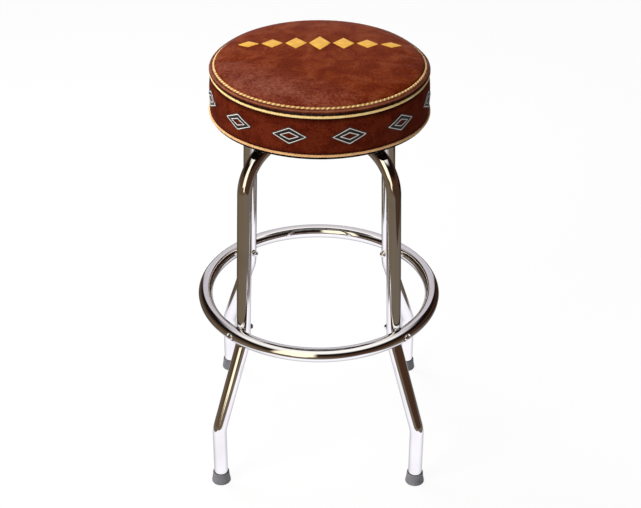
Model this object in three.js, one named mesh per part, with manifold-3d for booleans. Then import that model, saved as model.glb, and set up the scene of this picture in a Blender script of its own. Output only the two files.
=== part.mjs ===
// A swivel bar stool: a round padded seat on a ball bearing, four bent tube legs and a foot ring.
// Units are millimetres, +Z is up, the floor is z = 0 and the swivel axis is the Z axis.
// The front of the stool faces -Y.

import * as THREE from "three";
import * as BufferGeometryUtils from "three/addons/utils/BufferGeometryUtils.js";
import Module from "manifold-3d";

const wasm = await Module();
wasm.setup();

// Clearances
const gap = 0.3; // between pieces that touch
const overrun = 6; // how far a cutter runs past what it cuts

// Seat cushion, from the crown down
const seatHeight = 762;
const crownRise = 13.5;
const shoulderDrop = 10.4;
const bandHeight = 66.8;
const lipDrop = 8; // from the lower seam down to the seat's underside
const lipRadius = 5.2; // how far the cover rolls in there
const braidRadius = 175.6;
const upperSeamRadius = 182.1;
const lowerSeamRadius = 184.2;
const bandBulge = 1.4;
const coverThickness = 1.4;
const braidThickness = 3.2;
const pipingThickness = 4.4;
const hemWidth = 30;
const boardThickness = 12;
const dustCoverThickness = 0.8;
const crownPower = 2.4; // how flat the middle of the crown is

// Swivel bearing
const ballDiameter = 6.35;
const ballCount = 12;
const raceRadius = 52;
const ridgeWidth = 12;
const raceFloor = 1.1; // steel left under a ball
const plateThickness = 2.5;
const plateCornerRadius = 12;
const cageThickness = 1.2;
const cageWidth = 13;
const cageClearance = 0.4;
const rivetShaftRadius = 8;
const rivetHeadRadius = 13;
const rivetHeadThickness = 2.2;
const rivetHeadRoom = 1.5;

// Fasteners
const boltRadius = 3; // M6, for the legs and the ring
const nutAcrossFlats = 10;
const weldNutHeight = 5;
const legBoltHeadHeight = 4;
const legBoltPitch = 22;
const legBoltRoom = 14; // from the race ridge to the inner bolt
const legBoltEdge = 15.5; // from the outer bolt to the plate's side
const boltTipStand = 0.3;
const screwRadius = 2.4;
const screwHeadRadius = 4.5;
const screwHeadHeight = 2.4;
const screwLength = 13.5;
const screwEdge = 13; // from a screw to the upper plate's side
const screwClearance = 0.6;

// Legs
const legTubeRadius = 12.5;
const legWall = 1.5;
const legEndRoom = 21; // from the rivet's head to a leg's end
const topBendRadius = 74;
const kneeBendRadius = 60;
const ankleBendRadius = 45;
const boltToBend = 3.5; // straight tube past the outer bolt
const kneeDrop = 24; // from the foot ring down to the knee
const ankleHeight = 117;
const footRadius = 247.8;

// Foot ring
const ringRadius = 204.5;
const ringTubeRadius = 12.5;
const ringWall = 1.5;
const ringHeight = 299.5;
const saddleDepth = 4.9; // how far a leg nests in the ring
const dimpleDepth = 2.5;
const dimpleRoom = 0.6;
const domeRadius = 5.4;
const domeHeight = 3.4;
const capNutHeight = 4.2;
const capNutDomeHeight = 3.4;
const capNutBoreDepth = 5.4;

// Foot tips
const tipHeight = 21.5;
const tipTopRadius = 14.5;
const tipBottomRadius = 16.9;
const tipFloor = 5;
const tipEdge = 3; // height of the straight part of the tip's side

// Counts of flat sides that stand for round shapes
const seatSteps = 48;
const ringSteps = 48;
const raceSteps = 36;
const tubeSides = 12;
const tubeBoreSides = 6;
const trimSides = 5;
const smallSides = 12;
const holeSides = 8;
const ballSides = [8, 4];
const domeSteps = 3;
const cornerSteps = 3;
const nutSides = 6;
const crownSteps = 8;
const shoulderSteps = 4;
const bandSteps = 6;
const lipSteps = 3;
const bendStep = THREE.MathUtils.degToRad(15);

// Levels worked out from those sizes
const braidZ = seatHeight - crownRise;
const upperSeamZ = braidZ - shoulderDrop;
const lowerSeamZ = upperSeamZ - bandHeight;
const seatBottomZ = lowerSeamZ - lipDrop;
const hemTopZ = seatBottomZ + coverThickness;
const boardZ = hemTopZ + gap;
const boardTopZ = boardZ + boardThickness;
const dustCoverZ = boardZ - gap - dustCoverThickness;
const seatPlateZ = dustCoverZ - gap - plateThickness;
const fastenerRoom = weldNutHeight + boltTipStand + screwClearance + screwHeadHeight + gap;
const swivelOpening = Math.max(ballDiameter + 2 * raceFloor, fastenerRoom);
const basePlateTopZ = seatPlateZ - swivelOpening;
const basePlateZ = basePlateTopZ - plateThickness;
const ballZ = basePlateTopZ + swivelOpening / 2;
const legRunZ = basePlateZ - gap - legTubeRadius;

// Places in a plan view
const nutRadius = nutAcrossFlats / Math.sqrt(3);
const innerBoltRadius = raceRadius + ridgeWidth / 2 + legBoltRoom;
const outerBoltRadius = innerBoltRadius + legBoltPitch;
const legBoltRadii = [innerBoltRadius, outerBoltRadius];
const basePlateSide = 2 * (outerBoltRadius / Math.SQRT2 + legBoltEdge);
const screwOffset = (innerBoltRadius + outerBoltRadius) / 2 / Math.SQRT2;
const seatPlateSide = 2 * (screwOffset + screwEdge);
const legEndRadius = rivetHeadRadius + legEndRoom;
const shoulderRadius = outerBoltRadius + boltToBend + topBendRadius;
const legRadiusAtRing = ringRadius - ringTubeRadius - legTubeRadius + saddleDepth;
const shankLean = (legRadiusAtRing - shoulderRadius) / (legRunZ - ringHeight); // outwards per drop
const kneeRadius = legRadiusAtRing + kneeDrop * shankLean;
const boardRadius = Math.min(upperSeamRadius, lowerSeamRadius) - lipRadius;
const hemInnerRadius = lowerSeamRadius - lipRadius - hemWidth;
const rivetHoleRadius = rivetHeadRadius + rivetHeadRoom;

// Finishes
function finish(colour, roughness, metalness) {
  return new THREE.MeshStandardMaterial({ color: colour, roughness, metalness });
}

const chrome = finish(0xd4d4d6, 0.08, 1);
const plateSteel = finish(0x8f9092, 0.4, 1);
const zincSteel = finish(0xa9a8a0, 0.35, 1);
const ballSteel = finish(0xc0c0c4, 0.15, 1);
const cagePlastic = finish(0x2b2b2d, 0.6, 0);
const rubber = finish(0x6a6a6d, 0.85, 0);
const plywood = finish(0xb98f5c, 0.7, 0);
const foam = finish(0xe6dcb8, 0.95, 0);
const blackCloth = finish(0x1c1b1b, 0.95, 0);
const topLeather = finish(0x7b3d25, 0.5, 0);
const bandLeather = finish(0x5a2713, 0.5, 0);
const goldTrim = finish(0xe0ab4c, 0.6, 0);

// Points along a profile, and a quarter turn's sine and cosine for rounded ones
function sampled(count, makePoint) {
  return Array.from({ length: count + 1 }, (_, i) => makePoint(i / count));
}

function quarter(share) {
  return [Math.sin(share * (Math.PI / 2)), Math.cos(share * (Math.PI / 2))];
}

// Outlines
function polygon(radius, sides, centre = new THREE.Vector2(), turn = 0) {
  return Array.from({ length: sides }, (_, i) => {
    const angle = turn + (2 * Math.PI * i) / sides;
    return new THREE.Vector2(radius * Math.cos(angle), radius * Math.sin(angle)).add(centre);
  });
}

function outlineWithHoles(outline, holes) {
  const shape = new THREE.Shape(outline);
  shape.holes = holes.map((points) => new THREE.Path(points));
  return shape;
}

function roundedSquare(side, cornerRadius) {
  const middle = new THREE.Vector2();
  const inset = side / 2 - cornerRadius;
  return [0, 1, 2, 3].flatMap((corner) => {
    const start = (corner * Math.PI) / 2;
    const centre = new THREE.Vector2(inset, inset).rotateAround(middle, start);
    return sampled(cornerSteps, (share) => {
      const point = new THREE.Vector2(cornerRadius, 0);
      return point.rotateAround(middle, start + share * (Math.PI / 2)).add(centre);
    });
  });
}

function hexagon() {
  return outlineWithHoles(polygon(nutRadius, nutSides), []);
}

// Solids of one outline, and solids turned on the Z axis
function plate(shape, thickness) {
  return new THREE.ExtrudeGeometry(shape, { depth: thickness, bevelEnabled: false });
}

function turned(profile, steps = smallSides) {
  const points = profile.map(([radius, height]) => new THREE.Vector2(radius, height));
  return new THREE.LatheGeometry(points, steps).rotateX(Math.PI / 2);
}

function hoop(radius, height, tubeRadius, sides, steps) {
  return new THREE.TorusGeometry(radius, tubeRadius, sides, steps).translate(0, 0, height);
}

function rod(radius, length, sides = smallSides) {
  return new THREE.CylinderGeometry(radius, radius, length, sides).rotateX(Math.PI / 2);
}

// Booleans
function solid(geometry) {
  const bare = geometry.clone();
  bare.deleteAttribute("normal");
  bare.deleteAttribute("uv");
  const merged = BufferGeometryUtils.mergeVertices(bare);
  const corners = merged.index.array;
  const kept = [];
  for (let i = 0; i < corners.length; i += 3) {
    const [a, b, c] = corners.slice(i, i + 3);
    if (a !== b && b !== c && c !== a) {
      kept.push(a, b, c);
    }
  }
  return new wasm.Manifold(
    new wasm.Mesh({
      numProp: 3,
      vertProperties: new Float32Array(merged.attributes.position.array),
      triVerts: new Uint32Array(kept),
    }),
  );
}

function surface(body) {
  const mesh = body.getMesh();
  const geometry = new THREE.BufferGeometry();
  geometry.setAttribute("position", new THREE.BufferAttribute(mesh.vertProperties, 3));
  geometry.setIndex(new THREE.BufferAttribute(mesh.triVerts, 1));
  geometry.computeVertexNormals();
  return geometry;
}

function joined(...geometries) {
  return geometries.map(solid).reduce((whole, piece) => whole.add(piece));
}

function cut(body, cutters) {
  return cutters.reduce((rest, cutter) => rest.subtract(solid(cutter)), body);
}

// A bent centreline: places and directions, one for each step of the tube that follows it.
class Route extends THREE.Curve {
  constructor(stations) {
    super();
    this.stations = stations;
  }

  station(share) {
    return this.stations[Math.round(share * (this.stations.length - 1))];
  }

  getPointAt(share, target = new THREE.Vector3()) {
    return target.copy(this.station(share).place);
  }

  getTangentAt(share, target = new THREE.Vector3()) {
    return target.copy(this.station(share).direction);
  }
}

function bentRoute(corners, bendRadii) {
  const stations = [];
  const directions = corners.slice(1).map((point, i) => point.clone().sub(corners[i]).normalize());
  stations.push({ place: corners[0], direction: directions[0] });
  bendRadii.forEach((radius, i) => {
    const into = directions[i];
    const out = directions[i + 1];
    const turn = into.angleTo(out);
    const start = corners[i + 1].clone().addScaledVector(into, -radius * Math.tan(turn / 2));
    const inward = out.clone().addScaledVector(into, -into.dot(out)).normalize();
    const steps = Math.max(2, Math.ceil(turn / bendStep));
    for (let step = 0; step <= steps; step += 1) {
      const angle = (turn * step) / steps;
      const place = start.clone();
      place.addScaledVector(into, radius * Math.sin(angle));
      place.addScaledVector(inward, radius * (1 - Math.cos(angle)));
      const direction = into.clone().multiplyScalar(Math.cos(angle));
      direction.addScaledVector(inward, Math.sin(angle));
      stations.push({ place, direction });
    }
  });
  stations.push({ place: corners.at(-1), direction: directions.at(-1) });
  return new Route(stations);
}

function tubeAlong(route, radius, boreRadius = 0) {
  const bore = boreRadius > 0 ? [polygon(boreRadius, tubeBoreSides)] : [];
  const shape = outlineWithHoles(polygon(radius, tubeSides), bore);
  return new THREE.ExtrudeGeometry(shape, {
    extrudePath: route,
    steps: route.stations.length - 1,
    bevelEnabled: false,
  });
}

// The leg stands in the X-Z plane here, and its group turns it to its corner of the stool.
const legCorners = [
  new THREE.Vector3(legEndRadius, 0, legRunZ),
  new THREE.Vector3(shoulderRadius, 0, legRunZ),
  new THREE.Vector3(kneeRadius, 0, ringHeight - kneeDrop),
  new THREE.Vector3(footRadius, 0, ankleHeight),
  new THREE.Vector3(footRadius, 0, tipFloor + gap),
];
const legRoute = bentRoute(legCorners, [topBendRadius, kneeBendRadius, ankleBendRadius]);

// The ring's bolts lie on the X axis of that plane, at the ring's height.
const dimpleFloor = ringRadius + ringTubeRadius - dimpleDepth;
const legInnerFace = legRadiusAtRing - legTubeRadius * Math.hypot(1, shankLean);
const domeSeat = dimpleFloor + gap;
const capNutSeat = legInnerFace - gap - nutRadius * Math.abs(shankLean);
const ringBoltEnd = capNutSeat - capNutHeight;

function alongX(geometry, x, height) {
  return geometry.rotateY(Math.PI / 2).translate(x, 0, height);
}

function ringBoltHole() {
  const inner = legInnerFace - overrun;
  const outer = dimpleFloor + overrun;
  return alongX(rod(boltRadius + gap, outer - inner, holeSides), (inner + outer) / 2, ringHeight);
}

function dimple(wall) {
  const floorRadius = domeRadius + dimpleRoom + wall;
  const depth = dimpleDepth + wall + overrun;
  const cone = new THREE.CylinderGeometry(floorRadius + depth, floorRadius, depth, holeSides);
  return alongX(cone.rotateX(Math.PI / 2), dimpleFloor - wall + depth / 2, ringHeight);
}

// Pieces of one leg's corner
function legGeometry() {
  const tube = solid(tubeAlong(legRoute, legTubeRadius, legTubeRadius - legWall));
  const boltHoles = legBoltRadii.map((radius) => {
    const length = 2 * (legTubeRadius + overrun);
    return rod(boltRadius + gap, length, holeSides).translate(radius, 0, legRunZ);
  });
  return surface(cut(tube, [...boltHoles, ringBoltHole()]));
}

function footTipGeometry() {
  const boreRadius = legTubeRadius + gap;
  return turned(
    [
      [0, 0],
      [tipBottomRadius, 0],
      [tipBottomRadius, tipEdge],
      [tipTopRadius, tipHeight],
      [boreRadius, tipHeight],
      [boreRadius, tipFloor],
      [0, tipFloor],
    ],
    tubeSides,
  ).translate(footRadius, 0, 0);
}

function domeProfile(radius, height, base) {
  return sampled(domeSteps, (share) => {
    const [up, across] = quarter(share);
    return [radius * across, base + height * up];
  });
}

function ringBoltGeometry() {
  const length = domeSeat - ringBoltEnd;
  const shank = [[0, -length], [boltRadius, -length], [boltRadius, 0]];
  const head = domeProfile(domeRadius, domeHeight, 0);
  return alongX(turned([...shank, ...head]), domeSeat, ringHeight);
}

function capNutGeometry() {
  const domeBase = capNutHeight - gap;
  const dome = turned([[0, 0], ...domeProfile(nutAcrossFlats / 2, capNutDomeHeight, domeBase)]);
  const bore = rod(boltRadius + gap, 2 * capNutBoreDepth, holeSides);
  const nut = surface(cut(joined(plate(hexagon(), capNutHeight), dome), [bore]));
  return alongX(nut.rotateX(Math.PI), capNutSeat, ringHeight);
}

function legBoltGeometry(radius) {
  const seat = legRunZ - legTubeRadius - gap;
  const tip = basePlateTopZ + weldNutHeight + boltTipStand;
  const head = plate(hexagon(), legBoltHeadHeight);
  head.translate(0, 0, seat - legBoltHeadHeight);
  const bottom = seat - legBoltHeadHeight / 2;
  const shank = rod(boltRadius, tip - bottom, holeSides).translate(0, 0, (tip + bottom) / 2);
  return surface(joined(head, shank)).translate(radius, 0, 0);
}

// Foot ring: a hoop of tube, pressed in where a leg nests and where a bolt's head sits
const cornerNames = ["front_left", "front_right", "back_right", "back_left"];
const firstCorner = THREE.MathUtils.degToRad(225);
const cornerTurns = cornerNames.map((_, i) => firstCorner + (2 * Math.PI * i) / cornerNames.length);

function atCorners(makeCutter) {
  return cornerTurns.map((turn) => makeCutter().rotateZ(turn));
}

function footRingGeometry() {
  const saddle = (wall) => tubeAlong(legRoute, legTubeRadius + gap + wall);
  const pressed = (wall, sides) => {
    const tube = hoop(ringRadius, ringHeight, ringTubeRadius - wall, sides, ringSteps);
    const presses = [...atCorners(() => saddle(wall)), ...atCorners(() => dimple(wall))];
    return cut(solid(tube), presses);
  };
  const hollow = pressed(0, tubeSides).subtract(pressed(ringWall, tubeBoreSides));
  return surface(cut(hollow, atCorners(ringBoltHole)));
}

// Swivel plates: stamped squares with a ball race, lying on z = 0 with the race up
function racePlate(side, holes) {
  const square = outlineWithHoles(roundedSquare(side, plateCornerRadius), holes);
  const ridgeTop = plateThickness + (swivelOpening - cageThickness) / 2 - cageClearance;
  const ridge = turned(
    [
      [raceRadius - ridgeWidth / 2, plateThickness / 2],
      [raceRadius + ridgeWidth / 2, plateThickness / 2],
      [raceRadius + ridgeWidth / 2, ridgeTop],
      [raceRadius - ridgeWidth / 2, ridgeTop],
      [raceRadius - ridgeWidth / 2, plateThickness / 2],
    ],
    raceSteps,
  );
  const ballLevel = plateThickness + swivelOpening / 2;
  const groove = hoop(raceRadius, ballLevel, ballDiameter / 2 + gap, holeSides, raceSteps);
  return cut(joined(plate(square, plateThickness), ridge), [groove]);
}

function diagonalPlaces(radius) {
  return cornerTurns.map((turn) => new THREE.Vector2(radius * Math.cos(turn), radius * Math.sin(turn)));
}

function basePlateGeometry() {
  const rivetHole = polygon(rivetShaftRadius + gap, smallSides);
  let body = racePlate(basePlateSide, [rivetHole]);
  const places = legBoltRadii.flatMap(diagonalPlaces);
  const nutHeight = plateThickness / 2 + weldNutHeight;
  for (const place of places) {
    const nut = plate(hexagon(), nutHeight);
    body = body.add(solid(nut.translate(place.x, place.y, plateThickness / 2)));
  }
  const holes = places.map((place) => {
    const hole = rod(boltRadius + gap, 2 * (plateThickness + weldNutHeight + overrun), holeSides);
    return hole.translate(place.x, place.y, 0);
  });
  return surface(cut(body, holes)).translate(0, 0, basePlateZ);
}

const screwPlaces = diagonalPlaces(screwOffset * Math.SQRT2);
const screwHoles = screwPlaces.map((place) => polygon(screwRadius + gap, holeSides, place));

function seatPlateGeometry() {
  const rivetHole = polygon(rivetShaftRadius + gap, smallSides);
  const body = racePlate(seatPlateSide, [rivetHole, ...screwHoles]);
  return surface(body).rotateX(Math.PI).translate(0, 0, seatPlateZ + plateThickness);
}

function kingRivetGeometry() {
  const bottom = basePlateZ - gap - rivetHeadThickness;
  const top = seatPlateZ + plateThickness + gap + rivetHeadThickness;
  const rim = rivetHeadThickness / 2;
  return turned([
    [0, bottom],
    [rivetShaftRadius, bottom],
    [rivetHeadRadius, bottom + rim],
    [rivetHeadRadius, bottom + rivetHeadThickness],
    [rivetShaftRadius, bottom + rivetHeadThickness],
    [rivetShaftRadius, top - rivetHeadThickness],
    [rivetHeadRadius, top - rivetHeadThickness],
    [rivetHeadRadius, top - rim],
    [rivetShaftRadius, top],
    [0, top],
  ]);
}

function ballCageGeometry() {
  const pockets = Array.from({ length: ballCount }, (_, i) => {
    const turn = (2 * Math.PI * i) / ballCount;
    const centre = new THREE.Vector2(raceRadius * Math.cos(turn), raceRadius * Math.sin(turn));
    return polygon(ballDiameter / 2 + gap, holeSides, centre, turn);
  });
  const inner = polygon(raceRadius - cageWidth / 2, raceSteps);
  const shape = outlineWithHoles(polygon(raceRadius + cageWidth / 2, raceSteps), [inner, ...pockets]);
  return plate(shape, cageThickness).translate(0, 0, ballZ - cageThickness / 2);
}

function seatScrewGeometry() {
  const head = screwHeadHeight;
  const profile = [
    [0, 0],
    [screwHeadRadius, head / 2],
    [screwHeadRadius, head],
    [screwRadius, head],
    [screwRadius, head + screwLength - screwRadius],
    [0, head + screwLength],
  ];
  return turned(profile, holeSides).translate(0, 0, seatPlateZ - gap - head);
}

// Cushion profiles, as lists of radius and height. An inset profile is the inner face of the cover.
const trimRoom = braidThickness / 2 + gap;
const seamRoom = pipingThickness / 2 + gap;

function crownProfile(inset, count, reach = braidRadius - trimRoom) {
  return sampled(count, (share) => {
    const radius = quarter(share)[0] * reach;
    const rise = crownRise * (1 - (radius / braidRadius) ** crownPower);
    return [radius, braidZ + rise - inset];
  });
}

function shoulderProfile(inset, count) {
  const innerRadius = braidRadius + trimRoom;
  const width = upperSeamRadius - innerRadius - inset;
  const height = shoulderDrop - seamRoom - inset;
  return sampled(count, (share) => {
    const [across, up] = quarter(share);
    return [innerRadius + width * across, upperSeamZ + seamRoom + height * up];
  });
}

function bandProfile(inset, count, trim = 0) {
  return sampled(count, (share) => {
    const height = THREE.MathUtils.lerp(trim, bandHeight - trim, share);
    const rise = height / bandHeight;
    const seam = THREE.MathUtils.lerp(lowerSeamRadius, upperSeamRadius, rise);
    return [seam + bandBulge * Math.sin(Math.PI * rise) - inset, lowerSeamZ + height];
  });
}

function lipProfile(inset, count) {
  const depth = lipDrop - seamRoom - inset;
  return sampled(count, (share) => {
    const [across, down] = quarter(share);
    const radius = lowerSeamRadius - lipRadius + (lipRadius - inset) * across;
    return [radius, lowerSeamZ - seamRoom - depth * down];
  });
}

function topPanelGeometry() {
  const inner = crownProfile(coverThickness, crownSteps / 2);
  return turned([...inner, ...crownProfile(0, crownSteps).reverse()], seatSteps);
}

function shoulderStripGeometry() {
  const inner = shoulderProfile(coverThickness, shoulderSteps / 2);
  const outer = shoulderProfile(0, shoulderSteps).reverse();
  return turned([...inner, ...outer, inner[0]], seatSteps);
}

function sideBandGeometry() {
  const outer = bandProfile(0, bandSteps, seamRoom);
  const inner = bandProfile(coverThickness, bandSteps / 2, seamRoom).reverse();
  return turned([...outer, ...inner, outer[0]], seatSteps);
}

function bottomHemGeometry() {
  const under = [hemInnerRadius, seatBottomZ];
  const over = [hemInnerRadius, hemTopZ];
  const outer = lipProfile(0, lipSteps);
  const inner = lipProfile(coverThickness, lipSteps).reverse();
  return turned([under, ...outer, ...inner, over, under], seatSteps);
}

function foamPadGeometry() {
  const bottom = boardTopZ + gap;
  const inBand = ([, height]) => height > bottom && height < upperSeamZ;
  const side = bandProfile(seamRoom, bandSteps).filter(inBand);
  const crown = crownProfile(coverThickness + gap, crownSteps / 2, braidRadius - seamRoom).reverse();
  const profile = [[0, bottom], [boardRadius, bottom], ...side, [upperSeamRadius - seamRoom, upperSeamZ]];
  return turned([...profile, ...crown], seatSteps);
}

function seatBoardGeometry() {
  const holes = [polygon(rivetHoleRadius, smallSides), ...screwHoles];
  const shape = outlineWithHoles(polygon(boardRadius, seatSteps), holes);
  return plate(shape, boardThickness).translate(0, 0, boardZ);
}

function dustCoverGeometry() {
  const holes = [polygon(rivetHoleRadius, smallSides), ...screwHoles];
  const shape = outlineWithHoles(polygon(hemInnerRadius - gap, seatSteps), holes);
  return plate(shape, dustCoverThickness).translate(0, 0, dustCoverZ);
}

// The scene graph
function piece(name, geometry, material) {
  const mesh = new THREE.Mesh(geometry, material);
  mesh.name = name;
  return mesh;
}

const stool = new THREE.Group();
const base = new THREE.Group();
const cage = new THREE.Group();
const seat = new THREE.Group();
stool.add(base, cage, seat);

const leg = legGeometry();
const footTip = footTipGeometry();
const ringBolt = ringBoltGeometry();
const capNut = capNutGeometry();
const innerLegBolt = legBoltGeometry(innerBoltRadius);
const outerLegBolt = legBoltGeometry(outerBoltRadius);
cornerNames.forEach((corner, i) => {
  const group = new THREE.Group();
  group.rotation.z = cornerTurns[i];
  group.add(piece(`leg_${corner}`, leg, chrome));
  group.add(piece(`foot_tip_${corner}`, footTip, rubber));
  group.add(piece(`ring_bolt_${corner}`, ringBolt, chrome));
  group.add(piece(`cap_nut_${corner}`, capNut, chrome));
  group.add(piece(`leg_bolt_inner_${corner}`, innerLegBolt, zincSteel));
  group.add(piece(`leg_bolt_outer_${corner}`, outerLegBolt, zincSteel));
  base.add(group);
});
base.add(piece("foot_ring", footRingGeometry(), chrome));
base.add(piece("swivel_base_plate", basePlateGeometry(), plateSteel));
base.add(piece("king_rivet", kingRivetGeometry(), zincSteel));

cage.add(piece("ball_cage", ballCageGeometry(), cagePlastic));
const ball = new THREE.SphereGeometry(ballDiameter / 2, ...ballSides);
for (let i = 0; i < ballCount; i += 1) {
  const mesh = piece(`ball_${String(i + 1).padStart(2, "0")}`, ball, ballSteel);
  const turn = (2 * Math.PI * i) / ballCount;
  mesh.position.set(raceRadius * Math.cos(turn), raceRadius * Math.sin(turn), ballZ);
  mesh.rotation.set(0, 0, turn);
  cage.add(mesh);
}

seat.add(piece("swivel_seat_plate", seatPlateGeometry(), plateSteel));
const seatScrew = seatScrewGeometry();
screwPlaces.forEach((place, i) => {
  const mesh = piece(`seat_screw_${cornerNames[i]}`, seatScrew, zincSteel);
  mesh.position.set(place.x, place.y, 0);
  seat.add(mesh);
});
seat.add(piece("dust_cover", dustCoverGeometry(), blackCloth));
seat.add(piece("seat_board", seatBoardGeometry(), plywood));
seat.add(piece("foam_pad", foamPadGeometry(), foam));
seat.add(piece("top_panel", topPanelGeometry(), topLeather));
seat.add(piece("shoulder_strip", shoulderStripGeometry(), topLeather));
seat.add(piece("side_band", sideBandGeometry(), bandLeather));
seat.add(piece("bottom_hem", bottomHemGeometry(), bandLeather));
const braid = hoop(braidRadius, braidZ, braidThickness / 2, trimSides, seatSteps);
const upperPiping = hoop(upperSeamRadius, upperSeamZ, pipingThickness / 2, trimSides, seatSteps);
const lowerPiping = hoop(lowerSeamRadius, lowerSeamZ, pipingThickness / 2, trimSides, seatSteps);
seat.add(piece("braid_trim", braid, goldTrim));
seat.add(piece("upper_piping", upperPiping, goldTrim));
seat.add(piece("lower_piping", lowerPiping, goldTrim));

export default stool;
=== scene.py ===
# %% [markdown]
# # A swivel bar stool in chrome and leather
# The stool is a round padded seat on a ball bearing, four bent tube legs and a foot ring. Its
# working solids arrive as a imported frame: every node has its real size and place, in metres, with +Z
# up, and the stool's front faces -Y. This lesson dresses that frame. Each visible piece is built
# finer than its solid, rides on the body that carries it, and gets a surface made of nodes.

import math

import bmesh
import bpy
import numpy as np
from mathutils import Matrix, Vector
from mathutils.bvhtree import BVHTree


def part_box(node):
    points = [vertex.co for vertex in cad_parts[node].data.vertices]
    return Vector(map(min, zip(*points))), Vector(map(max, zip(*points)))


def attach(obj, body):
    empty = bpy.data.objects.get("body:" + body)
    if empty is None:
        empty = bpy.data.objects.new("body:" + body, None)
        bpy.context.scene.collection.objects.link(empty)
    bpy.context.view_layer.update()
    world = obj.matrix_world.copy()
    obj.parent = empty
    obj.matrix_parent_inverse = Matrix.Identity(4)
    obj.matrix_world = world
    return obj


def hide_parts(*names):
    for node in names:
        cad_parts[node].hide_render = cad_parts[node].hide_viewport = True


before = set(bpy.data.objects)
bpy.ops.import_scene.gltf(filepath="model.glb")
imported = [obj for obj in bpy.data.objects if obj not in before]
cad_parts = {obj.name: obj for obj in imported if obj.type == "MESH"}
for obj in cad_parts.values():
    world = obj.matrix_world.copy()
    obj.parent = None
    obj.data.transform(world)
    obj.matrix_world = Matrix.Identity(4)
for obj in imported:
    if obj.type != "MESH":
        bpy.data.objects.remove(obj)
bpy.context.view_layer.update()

# %% [markdown]
# ## Measures
# A dressed piece has to meet its neighbours, so its sizes come from the solids where they can be
# read off a box. What a box doesn't show, such as a bend's radius, is named once where it is first
# needed, in millimetres times `MM`.

# %% Sizes of the tubes
MM = 0.001
CORNERS = ("front_left", "front_right", "back_right", "back_left")
FIRST_CORNER = math.radians(225)
CORNER_TURNS = [FIRST_CORNER + i * math.tau / len(CORNERS) for i in range(len(CORNERS))]
JOINT_GAP = 0.3 * MM
TUBE_WALL = 1.5 * MM

ring_low, ring_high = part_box("foot_ring")
TUBE_RADIUS = (ring_high.z - ring_low.z) / 2
RING_HEIGHT = (ring_high.z + ring_low.z) / 2
RING_RADIUS = ring_high.x - TUBE_RADIUS
SADDLE_DEPTH = 4.9 * MM
LEG_AT_RING = RING_RADIUS - 2 * TUBE_RADIUS + SADDLE_DEPTH

leg_low, leg_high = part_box("leg_front_left")
LEG_RUN_HEIGHT = leg_high.z - TUBE_RADIUS
LEG_FOOT_HEIGHT = leg_low.z
print(f"tube {2000 * TUBE_RADIUS:.1f} mm, ring {2000 * RING_RADIUS:.0f} mm across at {RING_HEIGHT:.4f} m")

# %% Sizes of the seat's seams
BRAID_THICKNESS = 3.2 * MM
PIPING_THICKNESS = 4.4 * MM
LEATHER_THICKNESS = 1.4 * MM


def hoop_place(node, thickness):
    """The radius and height of a thin round hoop's centreline."""
    low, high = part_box(node)
    return high.x - thickness / 2, (low.z + high.z) / 2


BRAID_RADIUS, BRAID_Z = hoop_place("braid_trim", BRAID_THICKNESS)
UPPER_RADIUS, UPPER_Z = hoop_place("upper_piping", PIPING_THICKNESS)
LOWER_RADIUS, LOWER_Z = hoop_place("lower_piping", PIPING_THICKNESS)
SEAT_TOP_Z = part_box("top_panel")[1].z
SEAT_BOTTOM_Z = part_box("bottom_hem")[0].z
BOARD_TOP_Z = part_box("seat_board")[1].z
print(f"seat top {SEAT_TOP_Z:.4f} m, braid {BRAID_Z:.4f}, pipings {UPPER_Z:.4f} and {LOWER_Z:.4f}")

# %% [markdown]
# ## Camera
# A product photograph of furniture is taken with a long lens from above the seat, so that the
# verticals stay nearly parallel. The camera's distance, height and focal length are the ones at
# which the solids' outlines fall on the photograph's edges.

# %% Place the camera
IMAGE_WIDTH = 641  # pixels
FOCAL_LENGTH = 1552.1  # pixels
SENSOR_WIDTH = 36.0
CAMERA_DISTANCE = 2.3515
CAMERA_HEIGHT = 1.8385
CAMERA_PITCH = math.radians(31.909)
CAMERA_YAW = math.radians(0.067)
CAMERA_ROLL = math.radians(0.277)
SCENE = bpy.context.scene

forward = Vector((
    math.sin(CAMERA_YAW) * math.cos(CAMERA_PITCH),
    math.cos(CAMERA_YAW) * math.cos(CAMERA_PITCH),
    -math.sin(CAMERA_PITCH),
))
level = Vector((math.cos(CAMERA_YAW), -math.sin(CAMERA_YAW), 0))
upward = level.cross(forward)
across = level * math.cos(CAMERA_ROLL) + upward * math.sin(CAMERA_ROLL)
upright = upward * math.cos(CAMERA_ROLL) - level * math.sin(CAMERA_ROLL)


def in_scene(name, data):
    """A new object that shows a mesh, a lamp or a lens."""
    made = bpy.data.objects.new(name, data)
    SCENE.collection.objects.link(made)
    return made


lens = bpy.data.cameras.new("camera")
lens.sensor_width = SENSOR_WIDTH
lens.lens = FOCAL_LENGTH / IMAGE_WIDTH * SENSOR_WIDTH
SCENE.camera = in_scene("camera", lens)
turn = Matrix((across, upright, -forward)).transposed()
SCENE.camera.matrix_world = Matrix.Translation((0, -CAMERA_DISTANCE, CAMERA_HEIGHT)) @ turn.to_4x4()
SCENE.view_settings.view_transform = "Standard"
print(f"lens {lens.lens:.1f} mm, {CAMERA_DISTANCE:.2f} m in front of the swivel axis")

# %% [markdown]
# ## Helpers for node trees
# Node trees are long when every link is its own line. `node` adds one node, and takes its inputs as
# a dictionary: a socket is linked, and anything else is set as the value. Shader groups and shape
# trees then read like a list of steps.

# %% Add and link nodes


def feed(tree, socket, value):
    """Links an input if it's given a socket, and sets it if it's given a value."""
    if isinstance(value, bpy.types.NodeSocket):
        tree.links.new(value, socket)
    else:
        socket.default_value = value


def node(tree, kind, inputs=None, **settings):
    """One new node, with its settings, and with its inputs by name or number."""
    made = tree.nodes.new(kind)
    for name, value in settings.items():
        setattr(made, name, value)
    for key, value in (inputs or {}).items():
        feed(tree, made.inputs[key], value)
    return made


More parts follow.
